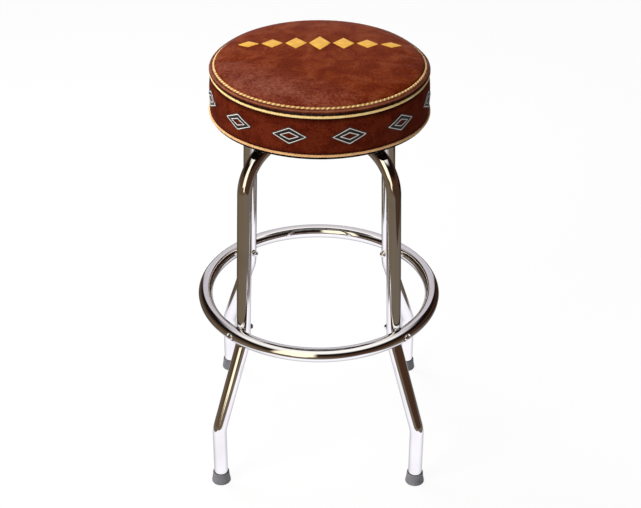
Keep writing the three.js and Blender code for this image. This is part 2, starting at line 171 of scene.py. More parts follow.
def calc(tree, operation, first, second=0.0, third=0.0):
    """The result of one Math node."""
    inputs = {0: first, 1: second, 2: third}
    return node(tree, "ShaderNodeMath", inputs, operation=operation).outputs[0]


def times(tree, first, second):
    return calc(tree, "MULTIPLY", first, second)


def times_plus(tree, value, factor, offset):
    return calc(tree, "MULTIPLY_ADD", value, factor, offset)


def split(tree, place):
    """The x, y and z of a place."""
    return node(tree, "ShaderNodeSeparateXYZ", {0: place}).outputs


# %% Patterns and colours


def fade(tree, value, low, high, start=0.0, end=1.0):
    """A smooth step of value: start below low, end above high."""
    inputs = {"Value": value, "From Min": low, "From Max": high, "To Min": start, "To Max": end}
    return node(tree, "ShaderNodeMapRange", inputs, interpolation_type="SMOOTHSTEP").outputs["Result"]


def noise(tree, place, scale, **more):
    """Noise over a place, with scale spots to the metre."""
    return node(tree, "ShaderNodeTexNoise", {"Vector": place, "Scale": scale, **more}).outputs["Fac"]


def stretched(tree, place, *scales):
    """The place, scaled along each axis, so that a pattern on it runs long or short."""
    return node(tree, "ShaderNodeMapping", {"Vector": place, "Scale": scales}).outputs[0]


def tint(red, green, blue):
    """A colour as seen on screen, from 0 to 255, as the linear values that shaders use."""
    linear = [((c / 255 + 0.055) / 1.055) ** 2.4 if c > 10 else c / 3295 for c in (red, green, blue)]
    return (*linear, 1.0)


def blend_colours(tree, factor, first, second, mode="MIX"):
    """A Mix node's colour output."""
    made = node(tree, "ShaderNodeMix", data_type="RGBA", blend_type=mode, clamp_factor=True)
    for name, value in (("Factor_Float", factor), ("A_Color", first), ("B_Color", second)):
        feed(tree, next(s for s in made.inputs if s.identifier == name), value)
    return next(s for s in made.outputs if s.identifier == "Result_Color")


def colour_step(tree, value, low, high, below, above):
    """One colour where value is below low, and another where it is above high."""
    return blend_colours(tree, fade(tree, value, low, high), below, above)


# %% Shader groups, and shaders that differ by what looks at them


def sockets(**kinds):
    """Names of sockets with their kinds, such as Float or Vector."""
    return {name: "NodeSocket" + kind for kind, names in kinds.items() for name in names}


def new_group(name, scales, outputs):
    """An empty shader group that takes a place and some scales, and has to put out some values."""
    group = bpy.data.node_groups.new(name, "ShaderNodeTree")
    inputs = sockets(Vector=["Place"], Float=scales)
    for way, named in (("INPUT", inputs), ("OUTPUT", sockets(Float=outputs))):
        for socket, kind in named.items():
            group.interface.new_socket(socket, in_out=way, socket_type=kind)
    given = group.nodes.new("NodeGroupInput").outputs
    return group, [given[name] for name in inputs], group.nodes.new("NodeGroupOutput").inputs


def use_group(tree, group, **inputs):
    """The outputs of a shader group placed in a material, with its own values."""
    named = {name.replace("_", " "): value for name, value in inputs.items()}
    return node(tree, "ShaderNodeGroup", named, node_tree=group).outputs


def connect(tree, inputs, **outputs):
    """Links outputs to the inputs of those names."""
    for name, output in outputs.items():
        tree.links.new(output, inputs[name.replace("_", " ")])


def by_ray(tree, plain, metal_sees, camera_sees):
    """A shader that is plain to soft light, and has its own look for metal and for the camera."""
    path = node(tree, "ShaderNodeLightPath").outputs
    seen = calc(tree, "MAXIMUM", path["Is Glossy Ray"], path["Is Transmission Ray"])
    mixed = plain.outputs[0]
    for share, other in ((seen, metal_sees), (path["Is Camera Ray"], camera_sees)):
        mixed = node(tree, "ShaderNodeMixShader", {0: share, 1: mixed, 2: other.outputs[0]}).outputs[0]
    return mixed


# %% [markdown]
# ## Studio
# Chrome has no colour of its own, so what stands around it is half of its look. In the photograph
# the stool stands on a narrow white paper sweep in a brown room. The upright tubes look down at the
# floor in front of the paper and turn olive brown, the feet see only paper and turn white, and a
# cream window draws streaks on the tilted parts. The camera itself sees plain white everywhere. The
# lamps stay plain and soft, and the room that metal sees is made from Light Path's ray kinds.

# %% The room that metal sees, by direction
SHEET_ACROSS = (-0.42, 0.42, 0.02)  # each edge: where it starts, where it ends and how soft it is
SHEET_ALONG = (-0.58, 0.42, 0.03)
BACKDROP_TURN = (-0.45, 0.45, 0.06)
WINDOW_TURN = (-0.70, -0.06, 0.06)
WINDOW_UP = (-0.40, 0.86, 0.06)
SUNLIT_ASIDE = (-0.42, -0.16, 0.03)
WHITE = (1.0, 1.0, 1.0, 1.0)
PAPER = (1.06, 1.05, 1.09, 1.0)
FLOOR_LEFT = tint(114, 100, 80)
FLOOR_RIGHT = tint(114, 103, 91)
FLOOR_FAR = tint(98, 80, 58)
FLOOR_DARK = tint(70, 51, 38)
FLOOR_BACK = tint(30, 22, 18)
ROOM_LEFT = tint(84, 64, 48)
ROOM_RIGHT = tint(74, 47, 34)
ROOM_DARK = tint(24, 17, 14)
CEILING = tint(220, 214, 219)
OVERHEAD = (1.06, 1.03, 0.96, 1.0)
WINDOW = (1.35, 1.2, 0.88, 1.0)


def between(tree, value, low, high, soft):
    """1 where value lies from low to high, with soft edges."""
    rise = fade(tree, value, low - soft, low + soft)
    return times(tree, rise, fade(tree, value, high - soft, high + soft, 1.0, 0.0))


def light_the_world():
    SCENE.world = bpy.data.worlds.new("studio")
    SCENE.world.use_nodes = True
    tree = SCENE.world.node_tree
    tree.nodes.clear()
    x, y, z = split(tree, node(tree, "ShaderNodeTexCoord").outputs["Generated"])
    wall = colour_step(tree, x, -0.2, 0.3, ROOM_LEFT, ROOM_RIGHT)
    room = colour_step(tree, z, 0.10, 0.40, wall, ROOM_DARK)
    ceiling = colour_step(tree, y, 0.10, 0.50, OVERHEAD, CEILING)
    room = colour_step(tree, z, 0.64, 0.82, room, ceiling)
    forwards = calc(tree, "ARCTAN2", x, times(tree, y, -1.0))
    window = times(tree, between(tree, forwards, *WINDOW_TURN), between(tree, z, *WINDOW_UP))
    room = blend_colours(tree, window, room, WINDOW)
    backdrop = colour_step(tree, z, 0.20, 0.42, PAPER, ceiling)
    facing_back = between(tree, calc(tree, "ARCTAN2", x, y), *BACKDROP_TURN)
    room = blend_colours(tree, facing_back, room, backdrop)
    lit_side = fade(tree, x, -1.0, 1.0, 0.82, 0.06)
    looks = (((0.95, 0.95, 0.97, 1.0), lit_side), (room, 1.0), (WHITE, 1.0))
    shades = [node(tree, "ShaderNodeBackground", {"Color": c, "Strength": s}) for c, s in looks]
    node(tree, "ShaderNodeOutputWorld", {"Surface": by_ray(tree, *shades)})
    print("world: plain light for cloth, a brown room for metal, white for the camera")


light_the_world()

# %% The floor: white paper, with brown floorboards past its edges as metal sees them
FLOOR_HALF = 6.0
GLOW_SHARE = 0.88


def floor_colour(tree):
    """The floor's colour by place: a sheet of paper, and floorboards that darken away from it."""
    place = node(tree, "ShaderNodeTexCoord").outputs["Object"]
    x, y, _ = split(tree, place)
    brown = colour_step(tree, x, -0.7, 0.45, FLOOR_LEFT, FLOOR_RIGHT)
    boards = fade(tree, noise(tree, place, 3.0, Detail=3.0), 0.4, 0.7, 0.0, 0.25)
    brown = blend_colours(tree, boards, brown, FLOOR_FAR)
    away = node(tree, "ShaderNodeVectorMath", {0: place}, operation="LENGTH").outputs["Value"]
    brown = colour_step(tree, away, 1.35, 2.0, brown, FLOOR_FAR)
    aside = times_plus(tree, calc(tree, "MINIMUM", y, -0.30), -0.6, x)
    brown = colour_step(tree, aside, 1.26, 1.34, brown, FLOOR_DARK)
    behind = colour_step(tree, x, 0.90, 1.08, FLOOR_RIGHT, FLOOR_BACK)
    brown = colour_step(tree, y, 0.25, 0.40, brown, behind)
    sunlit = between(tree, calc(tree, "DIVIDE", x, times(tree, y, -1.0)), *SUNLIT_ASIDE)
    sunlit = times(tree, sunlit, fade(tree, y, -2.6, -1.9, 1.0, 0.0))
    brown = blend_colours(tree, sunlit, brown, WINDOW)
    sheet = times(tree, between(tree, x, *SHEET_ACROSS), between(tree, y, *SHEET_ALONG))
    return blend_colours(tree, sheet, brown, PAPER)


def make_floor():
    mesh = bpy.data.meshes.new("floor")
    corners = [(x * FLOOR_HALF, y * FLOOR_HALF, 0) for x, y in ((-1, -1), (1, -1), (1, 1), (-1, 1))]
    mesh.from_pydata(corners, [], [(0, 1, 2, 3)])
    floor = in_scene("floor", mesh)
    material = bpy.data.materials.new("floor_paper")
    material.use_nodes = True
    tree = material.node_tree
    tree.nodes.clear()
    metal_sees = node(tree, "ShaderNodeEmission", {"Color": floor_colour(tree), "Strength": 1.0})
    paper = node(tree, "ShaderNodeBsdfDiffuse", {"Color": (0.86, 0.86, 0.87, 1.0)})
    glow = node(tree, "ShaderNodeEmission", {"Color": WHITE, "Strength": 1.03})
    faces = {0: GLOW_SHARE, 1: paper.outputs[0], 2: glow.outputs[0]}
    camera_sees = node(tree, "ShaderNodeMixShader", faces)
    node(tree, "ShaderNodeOutputMaterial", {"Surface": by_ray(tree, paper, metal_sees, camera_sees)})
    mesh.materials.append(material)
    print(f"floor: {2 * FLOOR_HALF:.0f} m square")


make_floor()

# %% Three soft lamps, which metal doesn't see, because the room already has its bright parts


def soft_lamp(name, place, aim, size, power, colour=(1.0, 1.0, 1.0)):
    """A square area lamp at place, turned to aim."""
    lamp = bpy.data.lights.new(name, "AREA")
    lamp.shape = "SQUARE"
    lamp.size = size
    lamp.energy = power
    lamp.color = colour
    made = in_scene(name, lamp)
    facing = (Vector(aim) - Vector(place)).to_track_quat("-Z", "Y")
    made.matrix_world = Matrix.Translation(place) @ facing.to_matrix().to_4x4()
    made.visible_glossy = False
    return made

SEAT_CENTRE = (0, 0, SEAT_TOP_Z)
lamps = [
    soft_lamp("lamp_front_left", (-1.9, -1.7, 2.2), SEAT_CENTRE, 1.4, 50, (1.0, 0.95, 0.86)),
    soft_lamp("lamp_right", (1.9, -0.6, 1.9), SEAT_CENTRE, 1.2, 2),
    soft_lamp("lamp_above", (-0.9, 0.8, 2.1), SEAT_CENTRE, 1.1, 24),
]
print("lamps:", [(lamp.name, lamp.data.energy) for lamp in lamps])

# %% [markdown]
# ## Shared surface effects
# Every finish on the stool is worn or grained a little. An effect that several finishes use is one
# shader group, placed in each material with its own scale. The groups read the piece's own
# coordinates, in metres, so a grain keeps its real size on a large piece and on a small one. They
# put out only masks and heights.

# %% Leather: clouds of dye, fine mottling and the pebbled grain


def make_leather_group():
    scales = ["Cloud Scale", "Grain Scale"]
    group, given, wanted = new_group("leather_skin", scales, ["Clouds", "Mottle", "Grain"])
    place, cloud_scale, grain_scale = given
    clouds = noise(group, place, cloud_scale, Detail=5.0, Distortion=0.7)
    finer = times(group, cloud_scale, 8.5)
    mottle = noise(group, stretched(group, place, 0.8, 1.0, 1.0), finer, Detail=4.0, Roughness=0.65)
    cells = {"Vector": place, "Scale": grain_scale}
    cells = node(group, "ShaderNodeTexVoronoi", cells, feature="DISTANCE_TO_EDGE")
    pebbles = fade(group, cells.outputs["Distance"], 0.0, 0.22)
    creases = noise(group, place, times(group, grain_scale, 0.3), Detail=3.0)
    grain = times_plus(group, pebbles, 0.65, times(group, creases, 0.35))
    clouds, mottle = fade(group, clouds, 0.30, 0.70), fade(group, mottle, 0.32, 0.68)
    connect(group, wanted, Clouds=clouds, Mottle=mottle, Grain=grain)
    return group


leather_group = make_leather_group()

# %% Metal: smears of old polish, and fine scratches


def make_metal_group():
    outputs = ["Smears", "Scratches", "Waves"]
    group, (place, smear_scale), wanted = new_group("metal_marks", ["Smear Scale"], outputs)
    smears = noise(group, place, smear_scale, Detail=4.0, Distortion=1.2)
    scratches = noise(group, stretched(group, place, 900.0, 900.0, 40.0), 1.0, Detail=2.0)
    waves = noise(group, place, times(group, smear_scale, 1.7))
    smears, scratches = fade(group, smears, 0.42, 0.78), fade(group, scratches, 0.62, 0.80)
    connect(group, wanted, Smears=smears, Scratches=scratches, Waves=waves)
    return group


metal_group = make_metal_group()

# %% Moulded and sawn stuff: a fine tooth, and dust lying in patches


def make_tooth_group():
    group, (place, tooth_scale), wanted = new_group("fine_tooth", ["Tooth Scale"], ["Tooth", "Dust"])
    tooth = noise(group, place, tooth_scale, Detail=3.0)
    dust = noise(group, place, times(group, tooth_scale, 0.04), Detail=5.0)
    connect(group, wanted, Tooth=tooth, Dust=fade(group, dust, 0.40, 0.72))
    return group


tooth_group = make_tooth_group()
print("shader groups:", leather_group.name, metal_group.name, tooth_group.name)

# %% [markdown]
# ## Finishes
# Each finish is one Principled shader. Numbers that are the same all over, such as specular level or
# coat, are set on the shader's own sockets. Colour, roughness and bump come from the groups above.

# %% Start a finish, and bump its surface
finishes = {}


def new_finish(name, **numbers):
    """The tree of a new finish, its shader, and the piece's own coordinates."""
    material = finishes[name] = bpy.data.materials.new(name)
    material.use_nodes = True
    shader = material.node_tree.nodes["Principled BSDF"].inputs
    for key, value in numbers.items():
        shader[key.replace("_", " ")].default_value = value
    return material.node_tree, shader, node(material.node_tree, "ShaderNodeTexCoord").outputs["Object"]


def raised(tree, height, depth, strength=1.0, under=None):
    """A bump normal: height from 0 to 1 stands depth metres high."""
    inputs = {"Height": height, "Distance": depth, "Strength": strength}
    if under is not None:
        inputs["Normal"] = under
    return node(tree, "ShaderNodeBump", inputs).outputs["Normal"]


def ramp(tree, factor, *stops):
    """A colour that runs through stops of position and colour."""
    made = node(tree, "ShaderNodeValToRGB", {"Fac": factor})
    marks = made.color_ramp.elements
    while len(marks) < len(stops):
        marks.new(0.5)
    for mark, (position, colour) in zip(marks, stops):
        mark.position = position
        mark.color = colour
    return made.outputs["Color"]


def stored(tree, name, output="Fac"):
    """A value that the piece's mesh has stored at each point."""
    return node(tree, "ShaderNodeAttribute", attribute_name=name).outputs[output]


# %% Chrome, plate, zinc and ball steel
PAINTED_RIM_SHADE = tint(96, 92, 98)
FINE_SCRATCH = 0.002 * MM
DEEP_SCRATCH = 0.01 * MM


def metal_finish(name, colour, marked, smear_scale, smooth, rough, scratch_depth, rim=0.0):
    """A metal whose smears run from smooth to rough, and whose rims get painted shade, by the share rim.
    """
    tree, shader, place = new_finish(name, Metallic=1.0)
    marks = use_group(tree, metal_group, Place=place, Smear_Scale=smear_scale)
    shade = blend_colours(tree, marks["Smears"], colour, marked)
    # Painted shade: where the surface turns away towards its outline, the colour darkens to grey.
    if rim > 0:
        facing = node(tree, "ShaderNodeLayerWeight", {"Blend": 0.5}).outputs["Facing"]
        shade = blend_colours(tree, fade(tree, facing, 0.28, 0.92, 0.0, rim), shade, PAINTED_RIM_SHADE)
    roughness = times_plus(tree, marks["Smears"], rough - smooth, smooth)
    roughness = times_plus(tree, marks["Scratches"], 0.06, roughness)
    waves = raised(tree, marks["Waves"], 0.02 * MM)
    normal = raised(tree, marks["Scratches"], scratch_depth, 0.5, waves)
    connect(tree, shader, Base_Color=shade, Roughness=roughness, Normal=normal)


# Chrome's last number is its share of painted rim shade.
metals = (
    ("chrome", tint(246, 245, 247), tint(236, 234, 236), 9.0, 0.035, 0.085, FINE_SCRATCH, 0.85),
    ("plate_steel", tint(150, 151, 154), tint(122, 120, 118), 30.0, 0.32, 0.50, DEEP_SCRATCH),
    ("zinc_steel", tint(188, 187, 178), tint(160, 157, 142), 60.0, 0.26, 0.42, DEEP_SCRATCH),
    ("ball_steel", tint(214, 214, 219), tint(198, 198, 202), 80.0, 0.10, 0.18, FINE_SCRATCH),
)
for measures in metals:
    metal_finish(*measures)
print("metals:", [measures[0] for measures in metals])

# %% Leather of the top panel and of the band
MATT_IOR = 1.07  # a matt leather: a plain 1.5 would grey its deep dyes
# The colour of a painted highlight, on the shoulder strip's upper ledge.
PAINTED_LEDGE_HIGHLIGHT = tint(172, 124, 96)
WAX = {"Coat_IOR": 1.4, "Coat_Roughness": 0.4}


def leather_finish(name, cloud_scale, grain_scale, grain_depth, dyes, painted_crease_shade):
    """Three dyes run from dark to light through the clouds. The attribute seam paints shade into the
    leather in a crease where it is above 0, and paints a highlight where it is below 0."""
    tree, shader, place = new_finish(name, IOR=MATT_IOR, **WAX)
    skin = use_group(tree, leather_group, Place=place, Cloud_Scale=cloud_scale, Grain_Scale=grain_scale)
    mixed = times_plus(tree, skin["Mottle"], 0.5, times(tree, skin["Clouds"], 0.5))
    colour = ramp(tree, mixed, *zip((0.12, 0.48, 0.88), dyes))
    # Painted light: shade in the creases by the cords and under the hem, and a highlight where seam is
    # below 0.
    seam = stored(tree, "seam")
    colour = blend_colours(tree, seam, colour, painted_crease_shade)
    colour = blend_colours(tree, times(tree, seam, -1.0), colour, PAINTED_LEDGE_HIGHLIGHT)
    creased = fade(tree, skin["Grain"], 0.10, 0.45, 0.80, 1.0)
    shade = node(tree, "ShaderNodeCombineColor", {0: creased, 1: creased, 2: creased}).outputs[0]
    colour = blend_colours(tree, 1.0, colour, shade, "MULTIPLY")
    roughness = times_plus(tree, skin["Mottle"], 0.14, 0.36)
    normal = raised(tree, skin["Grain"], grain_depth, 0.55)
    waxed = times_plus(tree, skin["Mottle"], 0.6, times(tree, skin["Clouds"], 0.4))
    waxed = times(tree, waxed, stored(tree, "waxed"))
    connect(tree, shader, Base_Color=colour, Roughness=roughness, Normal=normal, Coat_Weight=waxed)


top_dyes = (tint(90, 26, 4), tint(112, 41, 11), tint(130, 62, 33))
band_dyes = (tint(76, 21, 9), tint(92, 31, 14), tint(110, 43, 22))
# The last colour of each leather is the painted shade of its creases.
leather_finish("top_leather", 30.0, 520.0, 0.22 * MM, top_dyes, tint(30, 9, 5))
leather_finish("band_leather", 40.0, 560.0, 0.18 * MM, band_dyes, tint(14, 5, 3))

# %% Twisted gold thread
PLIES = 3.0


def thread_finish(name, light, dark, ply_turns, second=None):
    """Thread whose plies wind round each strand, with shade painted in the grooves between them. The
    strand's mesh says how far along and round a point is, and which strand it is on, since a second
    strand may have a colour of its own."""
    tree, shader, place = new_finish(name, Specular_IOR_Level=0.35, Sheen_Weight=0.25)
    x, y, _ = split(tree, stored(tree, "round", "Vector"))
    angle = calc(tree, "ARCTAN2", y, x)
    phase = times_plus(tree, stored(tree, "along"), ply_turns * math.tau, times(tree, angle, PLIES))
    plies = times_plus(tree, calc(tree, "SINE", phase), 0.5, 0.5)
    skin = use_group(tree, tooth_group, Place=place, Tooth_Scale=2600.0)
    # Painted shade in the grooves between the plies, mottled with dust.
    marked = times_plus(tree, plies, 0.55, times(tree, skin["Dust"], 0.45))
    colour = blend_colours(tree, marked, dark, light)
    if second is not None:
        colour = blend_colours(tree, stored(tree, "strand"), colour, second)
    normal = raised(tree, skin["Tooth"], 0.05 * MM, 0.6, raised(tree, plies, 0.12 * MM))
    roughness = times_plus(tree, skin["Tooth"], 0.25, 0.45)
    connect(tree, shader, Base_Color=colour, Roughness=roughness, Normal=normal)


threads = (
    ("gold_braid", tint(255, 246, 190), tint(250, 208, 124), 2.0, tint(192, 134, 66)),
    ("gold_piping", tint(255, 242, 184), tint(255, 206, 124), 3.0),
    ("shaded_piping", tint(252, 216, 158), tint(232, 166, 104), 3.0),
    ("gold_stitching", tint(255, 212, 66), tint(232, 166, 36), 2.0),
    ("white_thread", tint(255, 250, 246), tint(244, 236, 232), 2.0),
    ("black_thread", tint(24, 21, 21), tint(8, 6, 6), 2.0),
)
for measures in threads:
    thread_finish(*measures)
print("threads:", [measures[0] for measures in threads])

# %% Rubber, plastic, foam


def moulded_finish(name, colour, dusty, tooth_scale, tooth_depth, roughness, **numbers):
    """A plain moulded stuff with a fine tooth and a little dust."""
    tree, shader, place = new_finish(name, **numbers)
    skin = use_group(tree, tooth_group, Place=place, Tooth_Scale=tooth_scale)
    shade = blend_colours(tree, skin["Dust"], colour, dusty)
    rough = times_plus(tree, skin["Dust"], 0.14, roughness)
    normal = raised(tree, skin["Tooth"], tooth_depth)
    connect(tree, shader, Base_Color=shade, Roughness=rough, Normal=normal)


moulded_finish("rubber", tint(115, 115, 121), tint(136, 135, 140), 900.0, 0.05 * MM, 0.62)
moulded_finish("cage_plastic", tint(43, 43, 45), tint(58, 57, 57), 1200.0, 0.03 * MM, 0.5)
moulded_finish("foam", tint(230, 220, 184), tint(214, 200, 158), 700.0, 0.4 * MM, 0.8, Sheen_Weight=0.2)

# %% Plywood and dust cloth
WOODS = ((0.3, tint(150, 112, 68)), (0.55, tint(186, 146, 96)), (0.8, tint(204, 168, 118)))
PLY_EDGE = tint(120, 84, 50)
PLY_RATE = 2600.0  # radians to the metre
CLOTH_PITCH = 0.8 * MM


def plywood_finish():
    tree, shader, place = new_finish("plywood")
    fibres = noise(tree, stretched(tree, place, 14.0, 160.0, 14.0), 1.0, Detail=6.0)
    skin = use_group(tree, tooth_group, Place=place, Tooth_Scale=700.0)
    plies = calc(tree, "SINE", times(tree, split(tree, place)[2], PLY_RATE))
    edges = fade(tree, plies, 0.0, 0.6, 0.0, 0.25)
    colour = blend_colours(tree, edges, ramp(tree, fibres, *WOODS), PLY_EDGE)
    rough = times_plus(tree, skin["Dust"], 0.15, 0.62)
    connect(tree, shader, Base_Color=colour, Roughness=rough, Normal=raised(tree, fibres, 0.15 * MM))


def woven_finish():
    tree, shader, place = new_finish("dust_cloth", Sheen_Weight=0.3)
    x, y, _ = split(tree, place)
    warp, weft = [calc(tree, "SINE", times(tree, way, math.tau / CLOTH_PITCH)) for way in (x, y)]
    weave = times_plus(tree, times(tree, warp, weft), 0.5, 0.5)
    skin = use_group(tree, tooth_group, Place=place, Tooth_Scale=500.0)
    colour = blend_colours(tree, weave, tint(22, 21, 21), tint(42, 40, 40))
    colour = blend_colours(tree, times(tree, skin["Dust"], 0.3), colour, tint(88, 84, 80))
    rough = times_plus(tree, skin["Dust"], 0.1, 0.85)
    connect(tree, shader, Base_Color=colour, Roughness=rough, Normal=raised(tree, weave, 0.15 * MM))


plywood_finish()
woven_finish()
print("finishes:", len(finishes))

# %% [markdown]
# ## Making pieces
# A finished piece is a plain mesh whose object sits at the origin, so that patterns keep their
# place. Turned shapes and grids are drawn point by point. Shapes that repeat or follow a path are
# grown by Geometry Nodes from a small base mesh, and `grow` turns the result into a plain mesh.

# %% Keep a mesh as a piece of the stool


def dress(name, mesh, body, slot=None, stands_for=(), crisp=35):
    """A piece from a mesh: it rides on its body and stands for its solids. A mesh that has no finish
    yet gets the one of its slot's name."""
    if not mesh.materials:
        mesh.materials.append(finishes[slot])
    mesh.shade_smooth()
    mesh.set_sharp_from_angle(angle=math.radians(crisp))
    piece = in_scene(name, mesh)
    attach(piece, body)
    if stands_for:
        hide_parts(*stands_for)
    print(f"{name}: {len(mesh.polygons)} faces on {body}, for {len(stands_for)} solids")
    return piece

# %% Meshes from rings of points


def loft(name, rings, closed=False, capped=False):
    """A mesh through rings of points, each ring closed. One point alone is a pole."""
    shape = bmesh.new()
    made = [[shape.verts.new(point) for point in ring] for ring in rings]
    pairs = list(zip(made, made[1:]))
    if closed:
        pairs.append((made[-1], made[0]))
    for low, high in pairs:
        for i in range(max(len(low), len(high))):
            j = i + 1
            corners = (low[i % len(low)], low[j % len(low)], high[j % len(high)], high[i % len(high)])
            shape.faces.new(list(dict.fromkeys(corners)))
    if capped:
        shape.faces.new(made[0])
        shape.faces.new(made[-1])
    bmesh.ops.recalc_face_normals(shape, faces=shape.faces)
    mesh = bpy.data.meshes.new(name)
    shape.to_mesh(mesh)
    shape.free()
    return mesh


ARC_STEPS = 5


def turns_of(count, first=0.0):
    """Angles evenly round a circle, from first shares of a step on."""
    return [(i + first) * math.tau / count for i in range(count)]


def level_ring(radius_at, height, steps, centre=(0.0, 0.0)):
    """A level ring of points, whose radius may follow the angle."""
    x, y = centre
    spokes = [(radius_at(t), t) for t in turns_of(steps)]
    return [(x + radius * math.cos(t), y + radius * math.sin(t), height) for radius, t in spokes]


def ring_of(radius, height, steps, centre=(0.0, 0.0)):
    """A level circle of points, or its centre where the radius is nothing."""
    return level_ring(lambda angle: radius, height, steps, centre) if radius > 0 else [(*centre, height)]


def turned(name, profile, steps=96, centre=(0.0, 0.0)):
    """A shape turned on an upright axis, from pairs of radius and height."""
    return loft(name, [ring_of(radius, height, steps, centre) for radius, height in profile])


def rounded(corner, radius, start, end):
    """Points of an arc about corner, from one angle to another in degrees."""
    angles = [math.radians(start + (end - start) * i / ARC_STEPS) for i in range(ARC_STEPS + 1)]
    return [(corner[0] + radius * math.cos(a), corner[1] + radius * math.sin(a)) for a in angles]


# %% Geometry trees


def shape_tree(name, **kinds):
    """An empty geometry tree with named inputs of those kinds, and the sockets it is given."""
    tree = bpy.data.node_groups.new(name, "GeometryNodeTree")
    for socket, kind in sockets(Geometry=["Geometry"], **kinds, Material=["Material"]).items():
        tree.interface.new_socket(socket, in_out="INPUT", socket_type=kind)
    tree.interface.new_socket("Geometry", in_out="OUTPUT", socket_type="NodeSocketGeometry")
    return tree, tree.nodes.new("NodeGroupInput").outputs


def end_tree(tree, geometry, material):
    """Ends a tree with real geometry instead of instances, smooth faces and a material."""
    real = node(tree, "GeometryNodeRealizeInstances", {"Geometry": geometry}).outputs[0]
    smooth = node(tree, "GeometryNodeSetShadeSmooth", {"Geometry": real}).outputs[0]
    painted = node(tree, "GeometryNodeSetMaterial", {"Geometry": smooth, "Material": material})
    node(tree, "NodeGroupOutput", {"Geometry": painted.outputs[0]})
    return tree


# %% Grow a plain mesh from a tree


def modified_mesh(piece, name):
    """The piece's mesh as its modifiers leave it."""
    evaluated = piece.evaluated_get(bpy.context.evaluated_depsgraph_get())
    mesh = bpy.data.meshes.new_from_object(evaluated)
    mesh.name = name
    return mesh


def grow(name, base, tree, inputs, wall=0.0):
    """The plain mesh that a tree grows from a base mesh, with a wall's thickness if it has one."""
    seed = in_scene(name, base)
    modifier = seed.modifiers.new("shape", "NODES")
    modifier.node_group = tree
    names = {item.name: item.identifier for item in tree.interface.items_tree if item.in_out == "INPUT"}
    for key, value in inputs.items():
        modifier[names[key]] = value
    if wall:
        shell = seed.modifiers.new("wall", "SOLIDIFY")
        shell.thickness = wall
        shell.offset = -1.0
        shell.use_even_offset = True
    mesh = modified_mesh(seed, name)
    bpy.data.objects.remove(seed)
    return mesh


def base_points(name, places, edges=(), **attributes):
    """A base mesh of points and edges, with a value or vector for each point."""
    mesh = bpy.data.meshes.new(name)
    mesh.from_pydata([tuple(place) for place in places], list(edges), [])
    for key, values in attributes.items():
        vector = hasattr(values[0], "__len__")
        kind, field = ("FLOAT_VECTOR", "vector") if vector else ("FLOAT", "value")
        flat = np.ravel(values).astype(np.float32)
        mesh.attributes.new(key, kind, "POINT").data.foreach_set(field, flat)
    return mesh


# %% Attributes and places inside a tree


def attribute(tree, name, kind="FLOAT"):
    """A named attribute inside a geometry tree."""
    made = node(tree, "GeometryNodeInputNamedAttribute", {"Name": name}, data_type=kind)
    return made.outputs["Attribute"]


def store(tree, geometry, name, value, kind="FLOAT"):
    """Stores a value on each point, under a name that a material can read."""
    inputs = {"Geometry": geometry, "Name": name, "Value": value}
    return node(tree, "GeometryNodeStoreNamedAttribute", inputs, data_type=kind).outputs[0]


def move_points(tree, geometry, position):
    return node(tree, "GeometryNodeSetPosition", {"Geometry": geometry, "Position": position}).outputs[0]


# %% Sweep a round section along a path


def round_section(tree, sides, radius):
    inputs = {"Resolution": sides, "Radius": radius}
    return node(tree, "GeometryNodeCurvePrimitiveCircle", inputs).outputs["Curve"]


def strand_section(tree, sides, radius):
    """A round section that stores where each of its points is, for the plies in the finish."""
    rim = node(tree, "GeometryNodeInputPosition").outputs[0]
    return store(tree, round_section(tree, sides, radius), "round", rim, "FLOAT_VECTOR")


def sweep(tree, path, section, capped=False):
    inputs = {"Curve": path, "Profile Curve": section, "Fill Caps": capped}
    return node(tree, "GeometryNodeCurveToMesh", inputs).outputs[0]


# %% [markdown]
# ## Legs
# Each leg is one chromed steel tube, bent three times in one plane: level under the seat, nearly
# upright down to the ring, splayed below it, and upright again at the foot. A bender makes true arcs
# between straight runs. So the base mesh is only five corners, each with its bend's radius, and the
# tree fillets them and sweeps a round section along the result. Solidify then gives the tube its
# wall, which shows at the open end under the seat.

# %% The bent tube's tree


def bent_tube_tree():
    tree, given = shape_tree("bent_tube", Float=["Tube Radius"], Int=["Sides", "Bend Steps"])
    path = node(tree, "GeometryNodeMeshToCurve", {"Mesh": given["Geometry"]}).outputs[0]
    bends = {"Curve": path, "Radius": attribute(tree, "bend"), "Count": given["Bend Steps"]}
    path = node(tree, "GeometryNodeFilletCurve", bends, mode="POLY").outputs[0]
    tube = sweep(tree, path, round_section(tree, given["Sides"], given["Tube Radius"]))
    return end_tree(tree, tube, given["Material"])


bent_tube = bent_tube_tree()

# %% Corners and bends of a leg, in its own upright plane
TOP_BEND = 74 * MM
KNEE_BEND = 60 * MM
ANKLE_BEND = 45 * MM
LEG_END_RADIUS = 34 * MM
SHOULDER_RADIUS = 171.5 * MM
KNEE_DROP = 24 * MM
ANKLE_HEIGHT = 117 * MM
tip_low, tip_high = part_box("foot_tip_back_right")
FOOT_RADIUS = (tip_low.x + tip_high.x) / 2 * math.sqrt(2)
SHANK_LEAN = (LEG_AT_RING - SHOULDER_RADIUS) / (LEG_RUN_HEIGHT - RING_HEIGHT)

